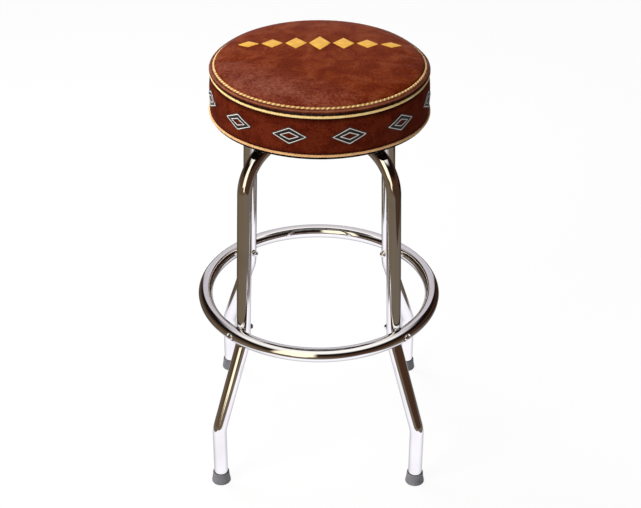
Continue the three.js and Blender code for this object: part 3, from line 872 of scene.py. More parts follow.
leg_corners = [
    (LEG_END_RADIUS, 0, LEG_RUN_HEIGHT),
    (SHOULDER_RADIUS, 0, LEG_RUN_HEIGHT),
    (LEG_AT_RING + KNEE_DROP * SHANK_LEAN, 0, RING_HEIGHT - KNEE_DROP),
    (FOOT_RADIUS, 0, ANKLE_HEIGHT),
    (FOOT_RADIUS, 0, LEG_FOOT_HEIGHT),
]
leg_edges = [(i, i + 1) for i in range(len(leg_corners) - 1)]
leg_bends = [0.0, TOP_BEND, KNEE_BEND, ANKLE_BEND, 0.0]
leg_base = base_points("leg_corners", leg_corners, leg_edges, bend=leg_bends)
tube_sizes = {"Tube Radius": TUBE_RADIUS, "Sides": 48, "Bend Steps": 40, "Material": finishes["chrome"]}
leg_mesh = grow("leg", leg_base, bent_tube, tube_sizes, wall=TUBE_WALL)
for corner, turn in zip(CORNERS, CORNER_TURNS):
    own = leg_mesh.copy()
    own.transform(Matrix.Rotation(turn, 4, "Z"))
    dress(f"bent_leg_{corner}", own, "base", "chrome", [f"leg_{corner}"])

# %% [markdown]
# ## Foot ring
# The foot ring is the same tube bent to a full circle. Where a leg crosses inside it, a press has
# dented a saddle for the leg, and on the outside a dimple sinks the bolt's head. Both are made by
# moving points of one fine hoop: a point inside the leg's clearance goes out to it, and a point past
# the dimple's cone comes back to it, with a rounded edge. The hoop has more points where it is
# pressed, and few in between.

# %% Rounded limits, and the hoop's stations
DIMPLE_DEPTH = 2.5 * MM
DIMPLE_FLOOR = 6.0 * MM
PRESSED_ARC = 17 * MM
FINE_STEP = 0.8 * MM
COARSE_STEP = 4.5 * MM
RING_SIDES = 64


def at_least(value, limit, softness):
    """value, but no less than limit, rounded where they meet."""
    return (value + limit + np.sqrt((value - limit) ** 2 + softness**2)) / 2


def at_most(value, limit, softness):
    return -at_least(-value, -limit, softness)


def ring_stations():
    """Angles round the ring, close together at the corners."""
    half = PRESSED_ARC / RING_RADIUS
    fine = np.arange(-half, half, FINE_STEP / RING_RADIUS)
    between_corners = math.tau / len(CORNERS) - 2 * half
    count = int(between_corners * RING_RADIUS / COARSE_STEP)
    coarse = half + np.arange(count) * between_corners / count
    return np.concatenate([turn + np.concatenate([fine, coarse]) for turn in CORNER_TURNS])


# %% Press the saddles and dimples
SADDLE_ROUNDING = 1.6 * MM
DIMPLE_ROUNDING = 0.7 * MM


def press_ring(points):
    """Presses saddles and dimples into points of the plain hoop."""
    clearance = TUBE_RADIUS + JOINT_GAP
    for turn in CORNER_TURNS:
        out = np.array([math.cos(turn), math.sin(turn)])
        along = np.array([-out[1], out[0]])
        near = points[:, :2] @ out > RING_RADIUS * 0.9
        u, v = points[near, :2] @ out, points[near, :2] @ along
        z = points[near, 2] - RING_HEIGHT
        leg_u = LEG_AT_RING - SHANK_LEAN * z
        away = np.hypot(u - leg_u, v)
        pushed = at_least(away, clearance, SADDLE_ROUNDING) / away
        u, v = leg_u + (u - leg_u) * pushed, v * pushed
        cone = RING_RADIUS + TUBE_RADIUS - DIMPLE_DEPTH + np.maximum(0, np.hypot(v, z) - DIMPLE_FLOOR)
        u = at_most(u, cone, DIMPLE_ROUNDING)
        points[near, :2] = np.outer(u, out) + np.outer(v, along)
    return points


def foot_ring_mesh():
    stations = ring_stations()
    sides = np.arange(RING_SIDES) * math.tau / RING_SIDES
    radius = RING_RADIUS + TUBE_RADIUS * np.cos(sides)
    height = RING_HEIGHT + TUBE_RADIUS * np.sin(sides)
    rows = [np.column_stack([radius * math.cos(s), radius * math.sin(s), height]) for s in stations]
    points = press_ring(np.concatenate(rows)).reshape(len(stations), RING_SIDES, 3)
    return loft("foot_ring", [[tuple(p) for p in row] for row in points], closed=True)


dress("pressed_foot_ring", foot_ring_mesh(), "base", "chrome", ["foot_ring"], crisp=60)

# %% [markdown]
# ## Fasteners
# Every bolt, nut and screw of a kind is the same little mesh, drawn once at the origin with its head
# up. One tree puts a copy at each seat, points it along the seat's aim and turns it a little,
# because nobody lines up hexagons when they tighten them. The spin is a stored value, so it is the
# same at every run.

# %% The tree that seats fasteners
UP = (0.0, 0.0, 1.0)
DOWN = (0.0, 0.0, -1.0)
SPIN_STEP = 0.7


def seated_tree():
    tree, given = shape_tree("seated_fasteners", Object=["Fastener"])
    shape = node(tree, "GeometryNodeObjectInfo", {"Object": given["Fastener"]}).outputs["Geometry"]
    aim = {"Vector": attribute(tree, "aim", "FLOAT_VECTOR")}
    aimed = node(tree, "FunctionNodeAlignRotationToVector", aim, axis="Z").outputs[0]
    spin = {"Axis": UP, "Angle": attribute(tree, "spin")}
    spin = node(tree, "FunctionNodeAxisAngleToRotation", spin).outputs[0]
    both = {"Rotation": aimed, "Rotate By": spin}
    both = node(tree, "FunctionNodeRotateRotation", both, rotation_space="LOCAL").outputs[0]
    copies = {"Points": given["Geometry"], "Instance": shape, "Rotation": both}
    copies = node(tree, "GeometryNodeInstanceOnPoints", copies).outputs[0]
    return end_tree(tree, copies, given["Material"])


seated = seated_tree()


def seat_fasteners(name, shape, places, aims, body, slot, stands_for=(), spins=None):
    """Copies of one shape at places, joined as one piece on one body."""
    template = in_scene(name + "_template", shape)
    spins = [SPIN_STEP * i for i in range(len(places))] if spins is None else spins
    base = base_points(name + "_seats", places, aim=aims, spin=spins)
    mesh = grow(name, base, seated, {"Fastener": template, "Material": finishes[slot]})
    bpy.data.objects.remove(template)
    return dress(name, mesh, body, slot, stands_for)


def at_corner(turn, radius, height):
    return (radius * math.cos(turn), radius * math.sin(turn), height)


def at_turns(turns, radius, height):
    return [at_corner(turn, radius, height) for turn in turns]


def numbered(pattern):
    """The names of four pieces, one at each corner."""
    return [pattern.format(corner) for corner in CORNERS]


# %% Hexagons with turned corners
HEX_STEPS = 48
NUT_ACROSS_FLATS = 10 * MM
CHAMFER_SLOPE = math.tan(math.radians(30))


def hex_radius(angle):
    """How far a hexagon's side is from its centre, in the direction of angle."""
    from_flat = (angle + math.pi / 6) % (math.pi / 3) - math.pi / 6
    return NUT_ACROSS_FLATS / 2 / math.cos(from_flat)


def hex_ring(height, limit=math.inf):
    """A hexagon whose corners are turned off at the radius limit."""
    return level_ring(lambda angle: min(hex_radius(angle), limit), height, HEX_STEPS)


def hex_rings(low, high):
    """Rings of a hexagon from low to high, its corners turned off at the high end."""
    flat = NUT_ACROSS_FLATS / 2
    corner = flat / math.cos(math.pi / 6)
    chamfer = (corner - flat) * CHAMFER_SLOPE
    steps = [i / 4 for i in range(5)]
    turned_off = [hex_ring(high - chamfer * (1 - s), corner - (corner - flat) * s) for s in steps]
    return [hex_ring(low), *turned_off]


def circle_rings(*pairs):
    return [ring_of(radius, height, HEX_STEPS) for radius, height in pairs]


# %% Bolts of the foot ring, with their cap nuts
BOLT_RADIUS = 3 * MM
DOME_RADIUS = 5.4 * MM
DOME_HEIGHT = 3.4 * MM
DOME_RIM = 0.5 * MM
DOME_STEPS = 8
EDGE_BREAK = 0.3 * MM
CAP_NUT_HEIGHT = 4.2 * MM
CAP_DOME_HEIGHT = 3.4 * MM
dome_seat = RING_RADIUS + TUBE_RADIUS - DIMPLE_DEPTH + JOINT_GAP
leg_inner_face = LEG_AT_RING - TUBE_RADIUS * math.hypot(1, SHANK_LEAN)
cap_nut_seat = leg_inner_face - JOINT_GAP - NUT_ACROSS_FLATS / math.sqrt(3) * abs(SHANK_LEAN)
bolt_length = dome_seat - cap_nut_seat + CAP_NUT_HEIGHT


def dome(radius, height, base):
    """Profile of a dome from its rim to its pole."""
    angles = [i * math.pi / 2 / DOME_STEPS for i in range(DOME_STEPS)]
    return [(radius * math.cos(a), base + height * math.sin(a)) for a in angles] + [(0, base + height)]


bolt_shape = turned("ring_bolt", [
    (0, -bolt_length),
    (BOLT_RADIUS, -bolt_length),
    (BOLT_RADIUS, 0),
    (DOME_RADIUS - EDGE_BREAK, 0),
    (DOME_RADIUS, EDGE_BREAK),
    *dome(DOME_RADIUS, DOME_HEIGHT - DOME_RIM, DOME_RIM),
], steps=HEX_STEPS)
dome_rings = circle_rings(*dome(NUT_ACROSS_FLATS / 2 - EDGE_BREAK, CAP_DOME_HEIGHT, CAP_NUT_HEIGHT))
nut_rings = circle_rings((0, 0.2 * MM), (BOLT_RADIUS + JOINT_GAP, 0)) + hex_rings(0, CAP_NUT_HEIGHT)
cap_nut_shape = loft("cap_nut", nut_rings + dome_rings)

ring_fasteners = (
    ("ring_bolts", bolt_shape, dome_seat, 1.0, "ring_bolt_{}"),
    ("ring_cap_nuts", cap_nut_shape, cap_nut_seat, -1.0, "cap_nut_{}"),
)
for name, shape, radius, way, stands_for in ring_fasteners:
    places = at_turns(CORNER_TURNS, radius, RING_HEIGHT)
    aims = at_turns(CORNER_TURNS, way, 0.0)
    seat_fasteners(name, shape, places, aims, "base", "chrome", numbered(stands_for))

# %% [markdown]
# ## Foot tips
# A rubber ferrule is pushed on each foot. It widens towards the floor, its mouth is chamfered, and a
# shallow groove above the sole lets it grip. It is a turned shape with a bore, set on its own foot.

# %% Turn the tips
TIP_TOP_RADIUS = 14.5 * MM
TIP_BOTTOM_RADIUS = 16.9 * MM
TIP_FLOOR = 5 * MM
tip_height = tip_high.z
bore = TUBE_RADIUS + JOINT_GAP / 3
tip_profile = [
    (0, 0.4 * MM),
    (11 * MM, 0.4 * MM),
    (11.6 * MM, 0),
    *rounded((TIP_BOTTOM_RADIUS - 1.2 * MM, 1.2 * MM), 1.2 * MM, -90, 0),
    (TIP_BOTTOM_RADIUS - 0.05 * MM, 3.2 * MM),
    (TIP_BOTTOM_RADIUS - 0.45 * MM, 3.7 * MM),
    (TIP_BOTTOM_RADIUS - 0.55 * MM, 4.3 * MM),
    (TIP_BOTTOM_RADIUS - 0.35 * MM, 4.9 * MM),
    (TIP_TOP_RADIUS + 0.9 * MM, 11 * MM),
    (TIP_TOP_RADIUS + 0.1 * MM, tip_height - 1.6 * MM),
    *rounded((TIP_TOP_RADIUS - 0.7 * MM, tip_height - 0.7 * MM), 0.7 * MM, 0, 90),
    (bore + 0.5 * MM, tip_height),
    (bore, tip_height - 0.6 * MM),
    (bore, TIP_FLOOR),
    (0, TIP_FLOOR),
]
for corner, turn in zip(CORNERS, CORNER_TURNS):
    x, y, _ = at_corner(turn, FOOT_RADIUS, 0)
    tip_mesh = turned("tip", tip_profile, 72, centre=(x, y))
    dress(f"rubber_tip_{corner}", tip_mesh, "base", "rubber", [f"foot_tip_{corner}"])

# %% [markdown]
# ## Swivel
# The seat turns on two stamped plates that hold a ring of balls between them, and a king rivet keeps
# them together. The lower plate is bolted through the legs into weld nuts, and the upper one is
# screwed into the seat's board. A stamped plate is drawn here as rings of points that start round at
# the rivet and end on the plate's square edge, so the pressed race and the rounded corners are one
# surface.

# %% Plates with a pressed race
RACE_RADIUS = 52 * MM
RIDGE_WIDTH = 12 * MM
RIDGE_HEIGHT = 3.3 * MM
RIDGE_EDGE = 0.8 * MM
RIDGE_FOOT = 2 * MM
GROOVE_DEPTH = 2.4 * MM
GROOVE_FLOOR = 1.6 * MM
UNDERSIDE_DEPTH = 0.7 * MM
UNDERSIDE_STEP = 3 * MM
BALL_RADIUS = 3.175 * MM
PLATE_THICKNESS = 2.5 * MM
PLATE_CORNER = 12 * MM
PLATE_EDGE = ((0.4 * MM, 1.0), (0.0, 0.85), (0.0, 0.15), (0.4 * MM, 0.0))  # inset, share of height
PLATE_STEPS = 144
RIVET_RADIUS = 8 * MM
base_plate_low, base_plate_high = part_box("swivel_base_plate")
seat_plate_low, seat_plate_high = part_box("swivel_seat_plate")
BASE_PLATE_SIDE = base_plate_high.x - base_plate_low.x
SEAT_PLATE_SIDE = seat_plate_high.x - seat_plate_low.x


def square_radius(angle, side):
    """How far a rounded square's edge is from its centre, in the direction of angle."""
    folded = abs((angle + math.pi / 4) % (math.pi / 2) - math.pi / 4)
    inner = side / 2 - PLATE_CORNER
    on_flat = side / 2 / math.cos(folded)
    if on_flat * math.sin(folded) <= inner:
        return on_flat
    toward = inner * (math.cos(folded) + math.sin(folded))
    return toward + math.sqrt(max(0.0, toward**2 - 2 * inner**2 + PLATE_CORNER**2))


# %% A stamped plate as one surface


def race_plate(name, side, face, lift):
    """A plate whose plain side is at face. lift is 1 where the race stands up and -1 where it hangs
    down."""
    inner, outer = RACE_RADIUS - RIDGE_WIDTH / 2, RACE_RADIUS + RIDGE_WIDTH / 2
    thick = PLATE_THICKNESS
    ridge = thick + RIDGE_HEIGHT
    hole = RIVET_RADIUS + JOINT_GAP
    groove = BALL_RADIUS + JOINT_GAP
    circles = [(hole, thick), (inner - RIDGE_FOOT, thick), (inner, thick + RIDGE_EDGE)]
    circles += [(inner + RIDGE_EDGE, ridge), (RACE_RADIUS - groove, ridge)]
    circles += [(RACE_RADIUS + way * GROOVE_FLOOR, ridge - GROOVE_DEPTH) for way in (-1, 1)]
    circles += [(RACE_RADIUS + groove, ridge), (outer - RIDGE_EDGE, ridge)]
    circles += [(outer, thick + RIDGE_EDGE), (outer + RIDGE_FOOT, thick)]
    under = [(outer, 0), (outer - UNDERSIDE_STEP, UNDERSIDE_DEPTH)]
    under += [(inner + UNDERSIDE_STEP, UNDERSIDE_DEPTH), (inner, 0), (hole, 0)]
    rings = [ring_of(radius, face + lift * height, PLATE_STEPS) for radius, height in circles]
    for inset, share in PLATE_EDGE:
        height = face + lift * (thick * share)
        rings.append(level_ring(lambda angle: square_radius(angle, side) - inset, height, PLATE_STEPS))
    rings += [ring_of(radius, face + lift * height, PLATE_STEPS) for radius, height in under]
    return loft(name, rings, closed=True)


race_plates = (
    ("lower_race_plate", "base", "swivel_base_plate", BASE_PLATE_SIDE, base_plate_low.z, 1),
    ("upper_race_plate", "seat", "swivel_seat_plate", SEAT_PLATE_SIDE, seat_plate_high.z, -1),
)
for name, body, stands_for, *measures in race_plates:
    dress(name, race_plate(name, *measures), body, "plate_steel", [stands_for], crisp=28)

# %% King rivet with rolled heads, and the balls in their cage
RIVET_HEAD_RADIUS = 13 * MM
RIVET_HEAD_THICKNESS = 2.2 * MM
RIVET_HEAD_ROUND = 1.1 * MM
RIVET_HOLLOW = 0.5 * MM
BALLS = 12
BALL_SIDES = 24
rivet_low, rivet_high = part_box("king_rivet")
head_middle = RIVET_HEAD_RADIUS - RIVET_HEAD_ROUND
rivet_profile = [
    (0, rivet_low.z + RIVET_HOLLOW),
    (5 * MM, rivet_low.z + RIVET_HOLLOW),
    (7 * MM, rivet_low.z),
    *rounded((head_middle, rivet_low.z + RIVET_HEAD_ROUND), RIVET_HEAD_ROUND, -90, 90),
    (RIVET_RADIUS, rivet_low.z + RIVET_HEAD_THICKNESS),
    (RIVET_RADIUS, rivet_high.z - RIVET_HEAD_THICKNESS),
    *rounded((head_middle, rivet_high.z - RIVET_HEAD_ROUND), RIVET_HEAD_ROUND, -90, 90),
    (7 * MM, rivet_high.z),
    (0, rivet_high.z),
]
dress("rolled_king_rivet", turned("rivet", rivet_profile), "base", "zinc_steel", ["king_rivet"])

ball_z = sum(corner.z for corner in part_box("ball_01")) / 2
lower_half = dome(BALL_RADIUS, -BALL_RADIUS, 0)[::-1]
ball_shape = turned("ball", lower_half + dome(BALL_RADIUS, BALL_RADIUS, 0)[1:], BALL_SIDES)
ball_places = at_turns(turns_of(BALLS), RACE_RADIUS, ball_z)
ball_names = [f"ball_{i + 1:02d}" for i in range(BALLS)]
ball_aims = [UP] * BALLS
seat_fasteners("bearing_balls", ball_shape, ball_places, ball_aims, "bearing", "ball_steel", ball_names)

# %% Leg bolts with a flange under the head, and their weld nuts
LEG_BOLT_RADII = (72 * MM, 94 * MM)
LEG_BOLT_HEAD = 4 * MM
FLANGE_RADIUS = 6.4 * MM
FLANGE_THICKNESS = 0.6 * MM
CROWN_DIP = 0.4 * MM
WELD_NUT_HEIGHT = 5 * MM
bolt_low, bolt_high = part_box("leg_bolt_inner_back_right")


def at_leg_bolts(height):
    return [place for radius in LEG_BOLT_RADII for place in at_turns(CORNER_TURNS, radius, height)]


shank_end = bolt_low.z + LEG_BOLT_HEAD - bolt_high.z
shank = ((0, shank_end), (2.4 * MM, shank_end), (BOLT_RADIUS, shank_end + 0.6 * MM), (BOLT_RADIUS, 0))
flange = ((FLANGE_RADIUS, 0), (FLANGE_RADIUS, FLANGE_THICKNESS), (5.4 * MM, FLANGE_THICKNESS))
dip = LEG_BOLT_HEAD - CROWN_DIP
head = hex_rings(FLANGE_THICKNESS, LEG_BOLT_HEAD)
head += circle_rings((4.2 * MM, LEG_BOLT_HEAD), (3.4 * MM, dip), (0, dip))
leg_bolt_shape = loft("leg_bolt", circle_rings(*shank, *flange) + head)
bolt_seats = at_leg_bolts(bolt_low.z + LEG_BOLT_HEAD)
bolt_names = numbered("leg_bolt_inner_{}") + numbered("leg_bolt_outer_{}")
bolt_aims = [DOWN] * len(bolt_seats)
seat_fasteners("leg_bolts", leg_bolt_shape, bolt_seats, bolt_aims, "base", "zinc_steel", bolt_names)

nut_hole = circle_rings((BOLT_RADIUS + JOINT_GAP, WELD_NUT_HEIGHT), (BOLT_RADIUS + JOINT_GAP, 0))
weld_nut_shape = loft("weld_nut", hex_rings(0, WELD_NUT_HEIGHT) + nut_hole, closed=True)
weld_places = at_leg_bolts(base_plate_low.z + PLATE_THICKNESS)
weld_aims = [UP] * len(weld_places)
seat_fasteners("weld_nuts", weld_nut_shape, weld_places, weld_aims, "base", "plate_steel")

# %% Seat screws
SCREW_RADIUS = 2.4 * MM
SCREW_HEAD_RADIUS = 4.5 * MM
SCREW_HEAD_HEIGHT = 2.4 * MM
screw_low, screw_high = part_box("seat_screw_back_right")
screw_tip = screw_low.z + SCREW_HEAD_HEIGHT - screw_high.z
screw_shape = turned("seat_screw", [
    (0, screw_tip),
    (SCREW_RADIUS, screw_tip + SCREW_RADIUS),
    (SCREW_RADIUS, 0),
    (SCREW_HEAD_RADIUS, 0),
    (SCREW_HEAD_RADIUS, 0.8 * MM),
    (SCREW_HEAD_RADIUS * 0.8, 1.9 * MM),
    (1.9 * MM, SCREW_HEAD_HEIGHT),
    (1.2 * MM, SCREW_HEAD_HEIGHT - 0.9 * MM),
    (0, SCREW_HEAD_HEIGHT - 1.2 * MM),
], 32)
screw_circle = (screw_low.x + screw_high.x) / 2 * math.sqrt(2)
screw_places = at_turns(CORNER_TURNS, screw_circle, screw_low.z + SCREW_HEAD_HEIGHT)
screw_names = numbered("seat_screw_{}")
seat_fasteners("seat_screws", screw_shape, screw_places, [DOWN] * 4, "seat", "zinc_steel", screw_names)

# %% Solids that keep their own shape
for name, slot in (("ball_cage", "cage_plastic"), ("seat_board", "plywood")):
    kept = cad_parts[name]
    kept.data.materials.clear()
    kept.data.materials.append(finishes[slot])
    print(f"{name}: kept, in {slot}")

# %% [markdown]
# ## Seat: the outside as one line
# The seat is round, so its outside is drawn once as a line from the middle of the top to the hem,
# cut at the seams: the domed top panel, the narrow shoulder strip, the taut band and the hem that
# turns under. Each part's ends are tucked in a little under the cord that covers its seam.

# %% The parts of that line
CROWN_RISE = SEAT_TOP_Z - BRAID_Z
CROWN_POWER = 2.4
CROWN_FULLNESS = 0.42
BAND_BULGE = 1.4 * MM
SHOULDER_START = 177.5 * MM
SHOULDER_END_Z = UPPER_Z + PIPING_THICKNESS / 2 + JOINT_GAP
SHOULDER_SQUARE = 0.8
OVERHANG = 1.8 * MM
SUNK = 0.7 * MM
TUCK = 2.4 * MM
UNDER_CORD = 1.6 * MM
TOP_STEP = 2.6 * MM
SHOULDER_STEP = 0.8 * MM
BAND_STEP = 2.2 * MM


def crown(radius):
    return BRAID_Z + CROWN_RISE * (1 - (radius / BRAID_RADIUS) ** CROWN_POWER) ** CROWN_FULLNESS


def band_radius(share):
    """The band's radius, share of the way down from the upper seam to the lower."""
    straight = UPPER_RADIUS + (LOWER_RADIUS - UPPER_RADIUS) * share
    return straight + BAND_BULGE * math.sin(math.pi * share)


def lengths_along(line):
    return np.concatenate([[0], np.cumsum(np.hypot(*np.diff(line, axis=0).T))])


def spaced(line, step):
    """Points every step along a line, with its ends kept."""
    line = np.array(line)
    lengths = lengths_along(line)
    wanted = np.linspace(0, lengths[-1], int(round(lengths[-1] / step)) + 1)
    return np.column_stack([np.interp(wanted, lengths, line[:, i]) for i in range(2)])


# %% Draw the lines of top, shoulder and band
LINE_POINTS = 200
shares = np.linspace(0, 1, LINE_POINTS)
quarter = shares * math.pi / 2
top_edge = BRAID_RADIUS - 0.6 * MM
top_line = [(top_edge * math.sin(a), crown(top_edge * math.sin(a))) for a in quarter]
top_line = spaced([*top_line, (BRAID_RADIUS - 0.2 * MM, BRAID_Z - TUCK)], TOP_STEP)

drop = BRAID_Z - SHOULDER_END_Z - OVERHANG
spread = UPPER_RADIUS + OVERHANG - SHOULDER_START
shoulder_line = [(BRAID_RADIUS, BRAID_Z - TUCK), (SHOULDER_START - 0.8 * MM, BRAID_Z - 0.5 * MM)]
for a in quarter:
    out = spread * math.sin(a) ** SHOULDER_SQUARE
    down = drop * (1 - math.cos(a) ** SHOULDER_SQUARE)
    shoulder_line.append((SHOULDER_START + out, BRAID_Z - down))
shoulder_line.append((UPPER_RADIUS + 0.5 * MM, SHOULDER_END_Z))
shoulder_line.append((UPPER_RADIUS - UNDER_CORD, UPPER_Z + 0.4 * MM))
shoulder_line = spaced(shoulder_line, SHOULDER_STEP)

band_top_z = UPPER_Z - PIPING_THICKNESS / 2 - 0.2 * MM
band_bottom_z = LOWER_Z + PIPING_THICKNESS / 2 + 0.2 * MM
band_line = [(band_radius(s), band_top_z + (band_bottom_z - band_top_z) * s) for s in shares]
band_line = [(UPPER_RADIUS - UNDER_CORD, UPPER_Z)] + band_line + [(LOWER_RADIUS - UNDER_CORD, LOWER_Z)]
band_line = spaced(band_line, BAND_STEP)
print("line points:", len(top_line), len(shoulder_line), len(band_line))

# %% [markdown]
# ## Seat: seams that aren't quite round or level
# The cover was pulled harder from front to back than across, and most at the back and its two
# corners, so the top seam isn't quite round. The lower edge hangs a few millimetres at the seat's
# sides. One function draws points in by their heights, another lowers them, and both are used on
# leather and cords alike.

# %% Draw the top in
DRAWN_IN_FRONT = 0.024
DRAWN_IN_BACK = 0.034
PULLED_IN = ((0.50, 0.027), (2.64, 0.017))
PULLED_REACH = 0.36
DRAWN_IN_AT = BRAID_Z - 3 * MM


def draw_in(points):
    """Moves points of the seat's top towards its middle, from front and back."""
    rise = np.clip((points[:, 2] - UPPER_Z) / (DRAWN_IN_AT - UPPER_Z), 0, 1)
    most = np.where(points[:, 1] < 0, DRAWN_IN_FRONT, DRAWN_IN_BACK)
    rise = rise * rise * (3 - 2 * rise)
    turn = np.arctan2(points[:, 1], points[:, 0])
    pulled = sum(share * np.exp(-(((turn - at) / PULLED_REACH) ** 2)) for at, share in PULLED_IN)
    points[:, 1] *= 1 - most * rise
    points[:, :2] *= 1 - (pulled * rise)[:, None]
    return points


# %% Let the lower edge hang at the sides
HEM_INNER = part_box("dust_cover")[1].x + JOINT_GAP
HANG_LEFT = 4.0 * MM
HANG_RIGHT = 6.0 * MM
HEM_FLAT = 9 * MM


def hang(points):
    """Lowers points near the lower seam at the seat's left and right, but not the hem where it lies
    flat."""
    radius = np.maximum(np.hypot(points[:, 0], points[:, 1]), MM)
    down = np.clip((UPPER_Z - points[:, 2]) / (UPPER_Z - LOWER_Z), 0, 1)
    flat = HEM_INNER + HEM_FLAT
    out = np.clip((radius - flat) / (LOWER_RADIUS - 6 * MM - flat), 0, 1)
    most = np.where(points[:, 0] < 0, HANG_LEFT, HANG_RIGHT)
    points[:, 2] -= most * down * down * out * (points[:, 0] / radius) ** 4
    return points


def points_of(mesh):
    places = np.empty(len(mesh.vertices) * 3, dtype=np.float32)
    mesh.vertices.foreach_get("co", places)
    return places.reshape(-1, 3).astype(float)


def set_points(mesh, points):
    mesh.vertices.foreach_set("co", points.astype(np.float32).ravel())
    mesh.update()


# %% [markdown]
# ## Seat: the foam, swollen by simulation
# The foam is a disc glued to the board and squeezed by its cover. It starts as a closed form just
# inside the cover, remeshed into even faces. The cloth solver then blows it up against its seams:
# points at the seams and on the board are pinned, the skin has a little slack, and pressure swells
# it until slack and pull balance. That gives the uneven lie of a real cushion, which the leather
# then takes on. Gravity is off, since foam carries itself. No point may move far, so the seat keeps
# its height.

# %% The form it starts from
FOAM_INSET = 3.4 * MM
FOAM_FLOOR = BOARD_TOP_Z + JOINT_GAP
FOAM_STEPS = 128

foam_line = [
    (0, FOAM_FLOOR),
    (LOWER_RADIUS - 8 * MM, FOAM_FLOOR),
    (LOWER_RADIUS - 4.4 * MM, FOAM_FLOOR + 2 * MM),
    (LOWER_RADIUS - FOAM_INSET, FOAM_FLOOR + 9 * MM),
    (band_radius(0.5) - FOAM_INSET, (UPPER_Z + LOWER_Z) / 2),
    (UPPER_RADIUS - FOAM_INSET, UPPER_Z),
    (BRAID_RADIUS - 2 * MM, BRAID_Z - FOAM_INSET),
]
foam_line += [(r, crown(r) - FOAM_INSET) for r in np.linspace(BRAID_RADIUS - 8 * MM, 0, 24)]
foam_start = turned("foam", [(float(r), float(z)) for r, z in foam_line], FOAM_STEPS)
print(f"foam: {len(foam_start.polygons)} faces to start from")

# %% Remesh it and let it swell
VOXEL = 5 * MM
PRESSURE = 4.0
SLACK = 0.02
MOST_SWELL = 6 * MM
FRAMES = 20
PIN_START = 3 * MM
PIN_FADE = 10 * MM


def pin_weights(points):
    """1 on the board and at the seams, fading to 0 away from them."""
    radius, height = np.hypot(points[:, 0], points[:, 1]), points[:, 2]
    seams = ((BRAID_RADIUS - 3 * MM, BRAID_Z - FOAM_INSET), (UPPER_RADIUS - FOAM_INSET, UPPER_Z))
    away = np.min([np.hypot(radius - r, height - z) for r, z in seams], axis=0)
    away = np.minimum(away, height - FOAM_FLOOR)
    return np.clip(1 - (away - PIN_START) / PIN_FADE, 0, 1)


# %% Run the cloth solver


def run_cloth(pad, weights):
    """Blows the pad up as a pressurised skin, held where its weights are 1."""
    pins = pad.vertex_groups.new(name="pins")
    for index, weight in enumerate(weights):
        pins.add([index], float(weight), "REPLACE")
    cloth = pad.modifiers.new("swell", "CLOTH")
    cloth.settings.quality = 6
    cloth.settings.vertex_group_mass = "pins"
    cloth.settings.use_pressure = True
    cloth.settings.uniform_pressure_force = PRESSURE
    cloth.settings.shrink_min = -SLACK
    cloth.settings.effector_weights.gravity = 0
    cloth.collision_settings.use_collision = False
    cloth.point_cache.frame_end = FRAMES
    for frame_number in range(1, FRAMES + 1):
        SCENE.frame_set(frame_number)
    pad.data = modified_mesh(pad, "foam_swollen")
    pad.modifiers.clear()
    SCENE.frame_set(1)


def swell(mesh):
    pad = in_scene("foam_trial", mesh)
    remesh = pad.modifiers.new("even_faces", "REMESH")
    remesh.mode = "VOXEL"
    remesh.voxel_size = VOXEL
    pad.data = modified_mesh(pad, "foam_even")
    pad.modifiers.clear()
    rest = points_of(pad.data)
    run_cloth(pad, pin_weights(rest))
    moved = points_of(pad.data) - rest
    distance = np.maximum(np.linalg.norm(moved, axis=1), 1e-9)
    kept = MOST_SWELL * np.tanh(distance / MOST_SWELL) / distance
    set_points(pad.data, rest + moved * kept[:, None])
    middle, most = 1000 * np.median(distance), 1000 * distance.max()
    print(f"foam: swelled by {middle:.1f} mm, {most:.1f} at most")
    pad.modifiers.new("even_curves", "SUBSURF").levels = 1
    mesh = modified_mesh(pad, "foam")
    bpy.data.objects.remove(pad)
    return mesh


foam_mesh = swell(foam_start)
foam_points = points_of(foam_mesh)
foam_points[:, 2] = np.maximum(foam_points[:, 2], FOAM_FLOOR)
foam_faces = [tuple(face.vertices) for face in foam_mesh.polygons]
foam_tree = BVHTree.FromPolygons([Vector(p) for p in foam_points], foam_faces)

# %% [markdown]
# ## Seat: the leather
# Each leather part is a fine grid laid along its stretch of the line and round the seat. Rays sent
# in through the grid find the foam, and how far the foam stands out or falls back there, compared
# with the rest of that ring, moves the leather the same way. Near a seam the thread gathers the
# leather into small puckers. A value called seam paints shade into the dye: 1 in a crease and under
# the hem, 0 away from them, and below 0 a painted highlight on the shoulder strip's upper ledge. One
# called waxed makes the front left of the seat shine a little.

# %% Unevenness from the foam
SEGMENTS = 480
TURNS = np.arange(SEGMENTS) * math.tau / SEGMENTS
SPIN = np.column_stack([np.cos(TURNS), np.sin(TURNS)])
LIE_LIMIT = 1.6 * MM
RAY_START = 8 * MM


def outward_normals(line):
    steps = np.gradient(line, axis=0)
    normals = np.column_stack([-steps[:, 1], steps[:, 0]])
    return normals / np.linalg.norm(normals, axis=1)[:, None]


def smoothed(rows, rounds):
    """Evens out neighbours, round the seat and along the line."""
    for _ in range(rounds):
        rows = (rows + np.roll(rows, 1, axis=1) + np.roll(rows, -1, axis=1)) / 3
        padded = np.vstack([rows[:1], rows, rows[-1:]])
        rows = (padded[:-2] + padded[1:-1] + padded[2:]) / 3
    return rows


